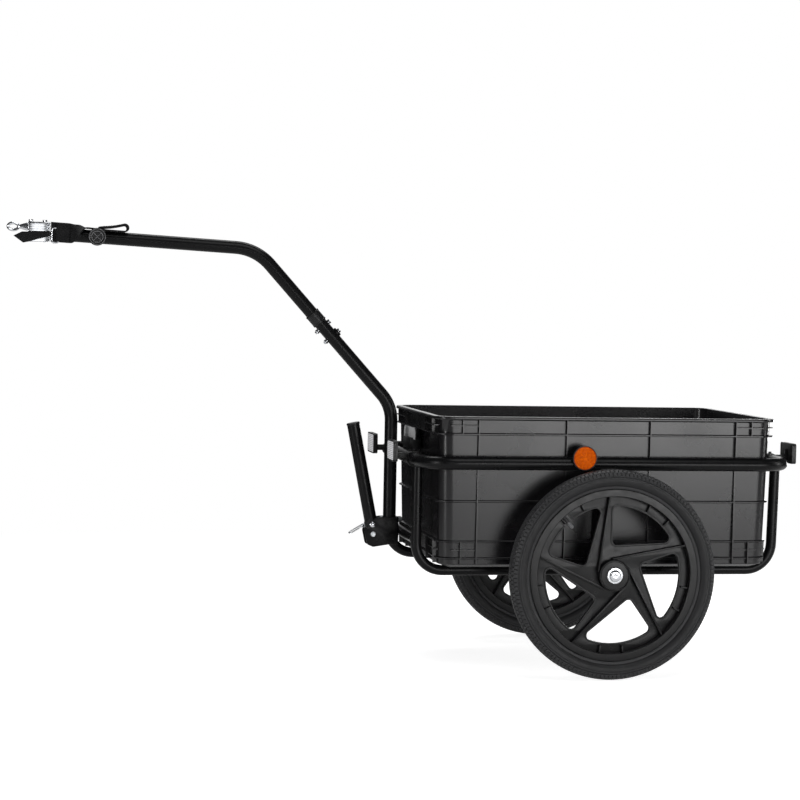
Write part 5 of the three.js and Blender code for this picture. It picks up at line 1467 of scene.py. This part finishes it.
# %% Studio floor
floor_shape = bmesh.new()
bmesh.ops.create_grid(floor_shape, x_segments=1, y_segments=1, size=9)
bmesh.ops.translate(floor_shape, vec=(0, 0, -0.0004), verts=floor_shape.verts)
floor_mesh = bpy.data.meshes.new("paper_floor")
floor_shape.to_mesh(floor_mesh)
floor_shape.free()
floor = bpy.data.objects.new("paper_floor", floor_mesh)
bpy.context.scene.collection.objects.link(floor)

paper = bpy.data.materials.new("white_paper")
paper.use_nodes = True
tree = paper.node_tree
tree.nodes.clear()
pure_white = (1, 1, 1, 1)
ray = add(tree, "ShaderNodeLightPath")
place = add(tree, "ShaderNodeTexCoord").outputs["Object"]
matt = add(tree, "ShaderNodeBsdfDiffuse", values={"Color": (0.8, 0.8, 0.8, 1)}).outputs["BSDF"]

# The camera sees lit paper near the trailer, so that the shadow shows, and plain white further out.
away = add(tree, "ShaderNodeVectorMath", settings={"operation": "LENGTH"}, links={0: place})
near = add(tree, "ShaderNodeMapRange", values={"From Min": 2.4, "From Max": 1.2},
           links={"Value": away.outputs["Value"]})
white = add(tree, "ShaderNodeEmission", values={"Color": pure_white, "Strength": 1.0})
lift = add(tree, "ShaderNodeEmission", values={"Color": pure_white, "Strength": 0.84})
lit = add(tree, "ShaderNodeAddShader", links={0: matt, 1: lift.outputs["Emission"]})
seen = add(tree, "ShaderNodeMixShader",
           links={0: near.outputs["Result"], 1: white.outputs["Emission"], 2: lit.outputs["Shader"]})

# Glossy and transmission rays see a weak lift round a place in front of the trailer, and dark paper beyond.
beyond = add(tree, "ShaderNodeVectorMath", settings={"operation": "DISTANCE"}, values={1: (0.4, -0.9, 0)},
             links={0: place})
close = add(tree, "ShaderNodeMapRange", values={"From Min": 2.8, "From Max": 2.0},
            links={"Value": beyond.outputs["Value"]})
dark = add(tree, "ShaderNodeBsdfDiffuse", values={"Color": (0.04, 0.04, 0.04, 1)})
weak_lift = add(tree, "ShaderNodeEmission", values={"Color": pure_white, "Strength": 0.26})
weak_lit = add(tree, "ShaderNodeAddShader", links={0: matt, 1: weak_lift.outputs["Emission"]})
mirrored = add(tree, "ShaderNodeMixShader",
               links={0: close.outputs["Result"], 1: dark.outputs["BSDF"], 2: weak_lit.outputs["Shader"]})
mirror_ray = add(tree, "ShaderNodeMath", settings={"operation": "MAXIMUM"},
                 links={0: ray.outputs["Is Glossy Ray"], 1: ray.outputs["Is Transmission Ray"]})
bounced = add(tree, "ShaderNodeMixShader",
              links={0: mirror_ray.outputs["Value"], 1: matt, 2: mirrored.outputs["Shader"]})
blend = add(tree, "ShaderNodeMixShader",
            links={0: ray.outputs["Is Camera Ray"], 1: bounced.outputs["Shader"], 2: seen.outputs["Shader"]})
add(tree, "ShaderNodeOutputMaterial", links={"Surface": blend.outputs["Shader"]})
floor_mesh.materials.append(paper)
print("floor:", [round(side, 2) for side in floor.dimensions], "m")

# %% [markdown]
# ## Backdrop
# The world is white where the camera looks past the floor, by the Is Camera Ray switch, and dim for the rest.
# A mirror ray that leaves straight behind the trailer also finds white, as chrome on a white table would.

# %% Backdrop
world = bpy.data.worlds.new("studio")
bpy.context.scene.world = world
world.use_nodes = True
tree = world.node_tree
tree.nodes.clear()
ray = add(tree, "ShaderNodeLightPath")
way = add(tree, "ShaderNodeTexCoord").outputs["Generated"]
ahead = add(tree, "ShaderNodeVectorMath", settings={"operation": "DOT_PRODUCT"},
            values={1: (0.183, 0.983, 0.0)}, links={0: way})
behind = add(tree, "ShaderNodeMapRange", values={"From Min": 0.965, "From Max": 0.985},
             links={"Value": ahead.outputs["Value"]})
mirror_ray = add(tree, "ShaderNodeMath", settings={"operation": "MAXIMUM"},
                 links={0: ray.outputs["Is Glossy Ray"], 1: ray.outputs["Is Transmission Ray"]})
paper_seen = add(tree, "ShaderNodeMath", settings={"operation": "MULTIPLY"},
                 links={0: mirror_ray.outputs["Value"], 1: behind.outputs["Result"]})
white_ray = add(tree, "ShaderNodeMath", settings={"operation": "MAXIMUM"},
                links={0: ray.outputs["Is Camera Ray"], 1: paper_seen.outputs["Value"]})
white = add(tree, "ShaderNodeBackground", values={"Color": pure_white, "Strength": 1.0})
room = add(tree, "ShaderNodeBackground", values={"Color": (0.95, 0.97, 1.0, 1), "Strength": 0.06})
blend = add(tree, "ShaderNodeMixShader",
            links={0: white_ray.outputs["Value"], 1: room.outputs["Background"],
                   2: white.outputs["Background"]})
add(tree, "ShaderNodeOutputWorld", links={"Surface": blend.outputs["Shader"]})
print("world nodes:", len(tree.nodes))

# %% [markdown]
# ## Lamps
# A black object shows mostly what it mirrors, so the lamps are large soft boxes, placed for reflections.
# The front panel stands low to the right of the camera, and throws the wheel's shadow left on the wall.
# The key panel fills from above, and the hitch panel gives the chrome at the front its sparkle.
# The strips on the left and right draw the long highlights down the tubes.
# The top, far and back panels light the inside of the box and the sides that the photograph doesn't show.

# %% Lamps
def soft_box(name, place, target, width, height, power):
    """A rectangular lamp that faces its target and isn't seen by the camera."""
    lamp = bpy.data.lights.new(name, "AREA")
    lamp.shape = "RECTANGLE"
    lamp.size = width
    lamp.size_y = height
    lamp.energy = power
    holder = bpy.data.objects.new(name, lamp)
    holder.location = place
    holder.rotation_euler = (Vector(target) - Vector(place)).to_track_quat("-Z", "Y").to_euler()
    holder.visible_camera = False
    bpy.context.scene.collection.objects.link(holder)
    print("lamp", name, power, "W")


soft_box("front_panel", (1.42, -3.1, 0.42), (0.45, 0.0, 0.3), 2.2, 0.8, 36)
soft_box("key_panel", (0.5, -1.7, 3.0), (0.1, 0.0, 0.2), 1.8, 1.4, 24)
soft_box("hitch_panel", (-0.75, -3.6, 1.05), (-0.6, 0.0, 0.8), 1.2, 0.7, 5)
soft_box("left_strip", (-2.9, -2.0, 0.8), (-0.1, 0.0, 0.4), 0.3, 1.5, 34)
soft_box("right_strip", (2.9, -0.5, 0.9), (0.0, 0.0, 0.5), 0.3, 1.5, 13)
soft_box("top_panel", (0.2, 1.3, 3.0), (0.0, 0.0, 0.4), 2.4, 0.8, 34)
soft_box("far_panel", (2.2, 2.8, 0.32), (0.2, 0.0, 0.32), 1.8, 0.5, 22)
soft_box("back_panel", (1.5, 3.4, 1.6), (0.2, 0.0, 0.4), 1.8, 1.2, 8)

# %% [markdown]
# ## Camera
# The photograph was taken from the trailer's left, a little above it and a little ahead, with a long lens.
# Place, turn and focal length come from fitting the two wheels, the box and the rail to their known sizes.
# The focal length was found in pixels of a picture 800 wide. The sensor's width turns it into millimetres.

# %% Camera
picture_width, focal_pixels = 800, 2289
camera_data = bpy.data.cameras.new("catalogue_camera")
camera_data.sensor_width = 36
camera_data.lens = camera_data.sensor_width * focal_pixels / picture_width
camera = bpy.data.objects.new("catalogue_camera", camera_data)
bpy.context.scene.collection.objects.link(camera)
camera.location = (-1.1851 + axle_x, -4.4381, 0.7174)
yaw, pitch, roll = math.radians(10.539), math.radians(2.615), math.radians(1.102)
forward = Vector((math.sin(yaw) * math.cos(pitch), math.cos(yaw) * math.cos(pitch), -math.sin(pitch)))
right = forward.cross(Vector((0, 0, 1))).normalized()
above = right.cross(forward)
tilted_right = math.cos(roll) * right + math.sin(roll) * above
tilted_up = math.cos(roll) * above - math.sin(roll) * right
camera.rotation_euler = Matrix((tilted_right, tilted_up, -forward)).transposed().to_euler()
bpy.context.scene.camera = camera
bpy.context.scene.view_settings.view_transform = "Standard"
print("camera lens:", round(camera_data.lens, 1), "mm")
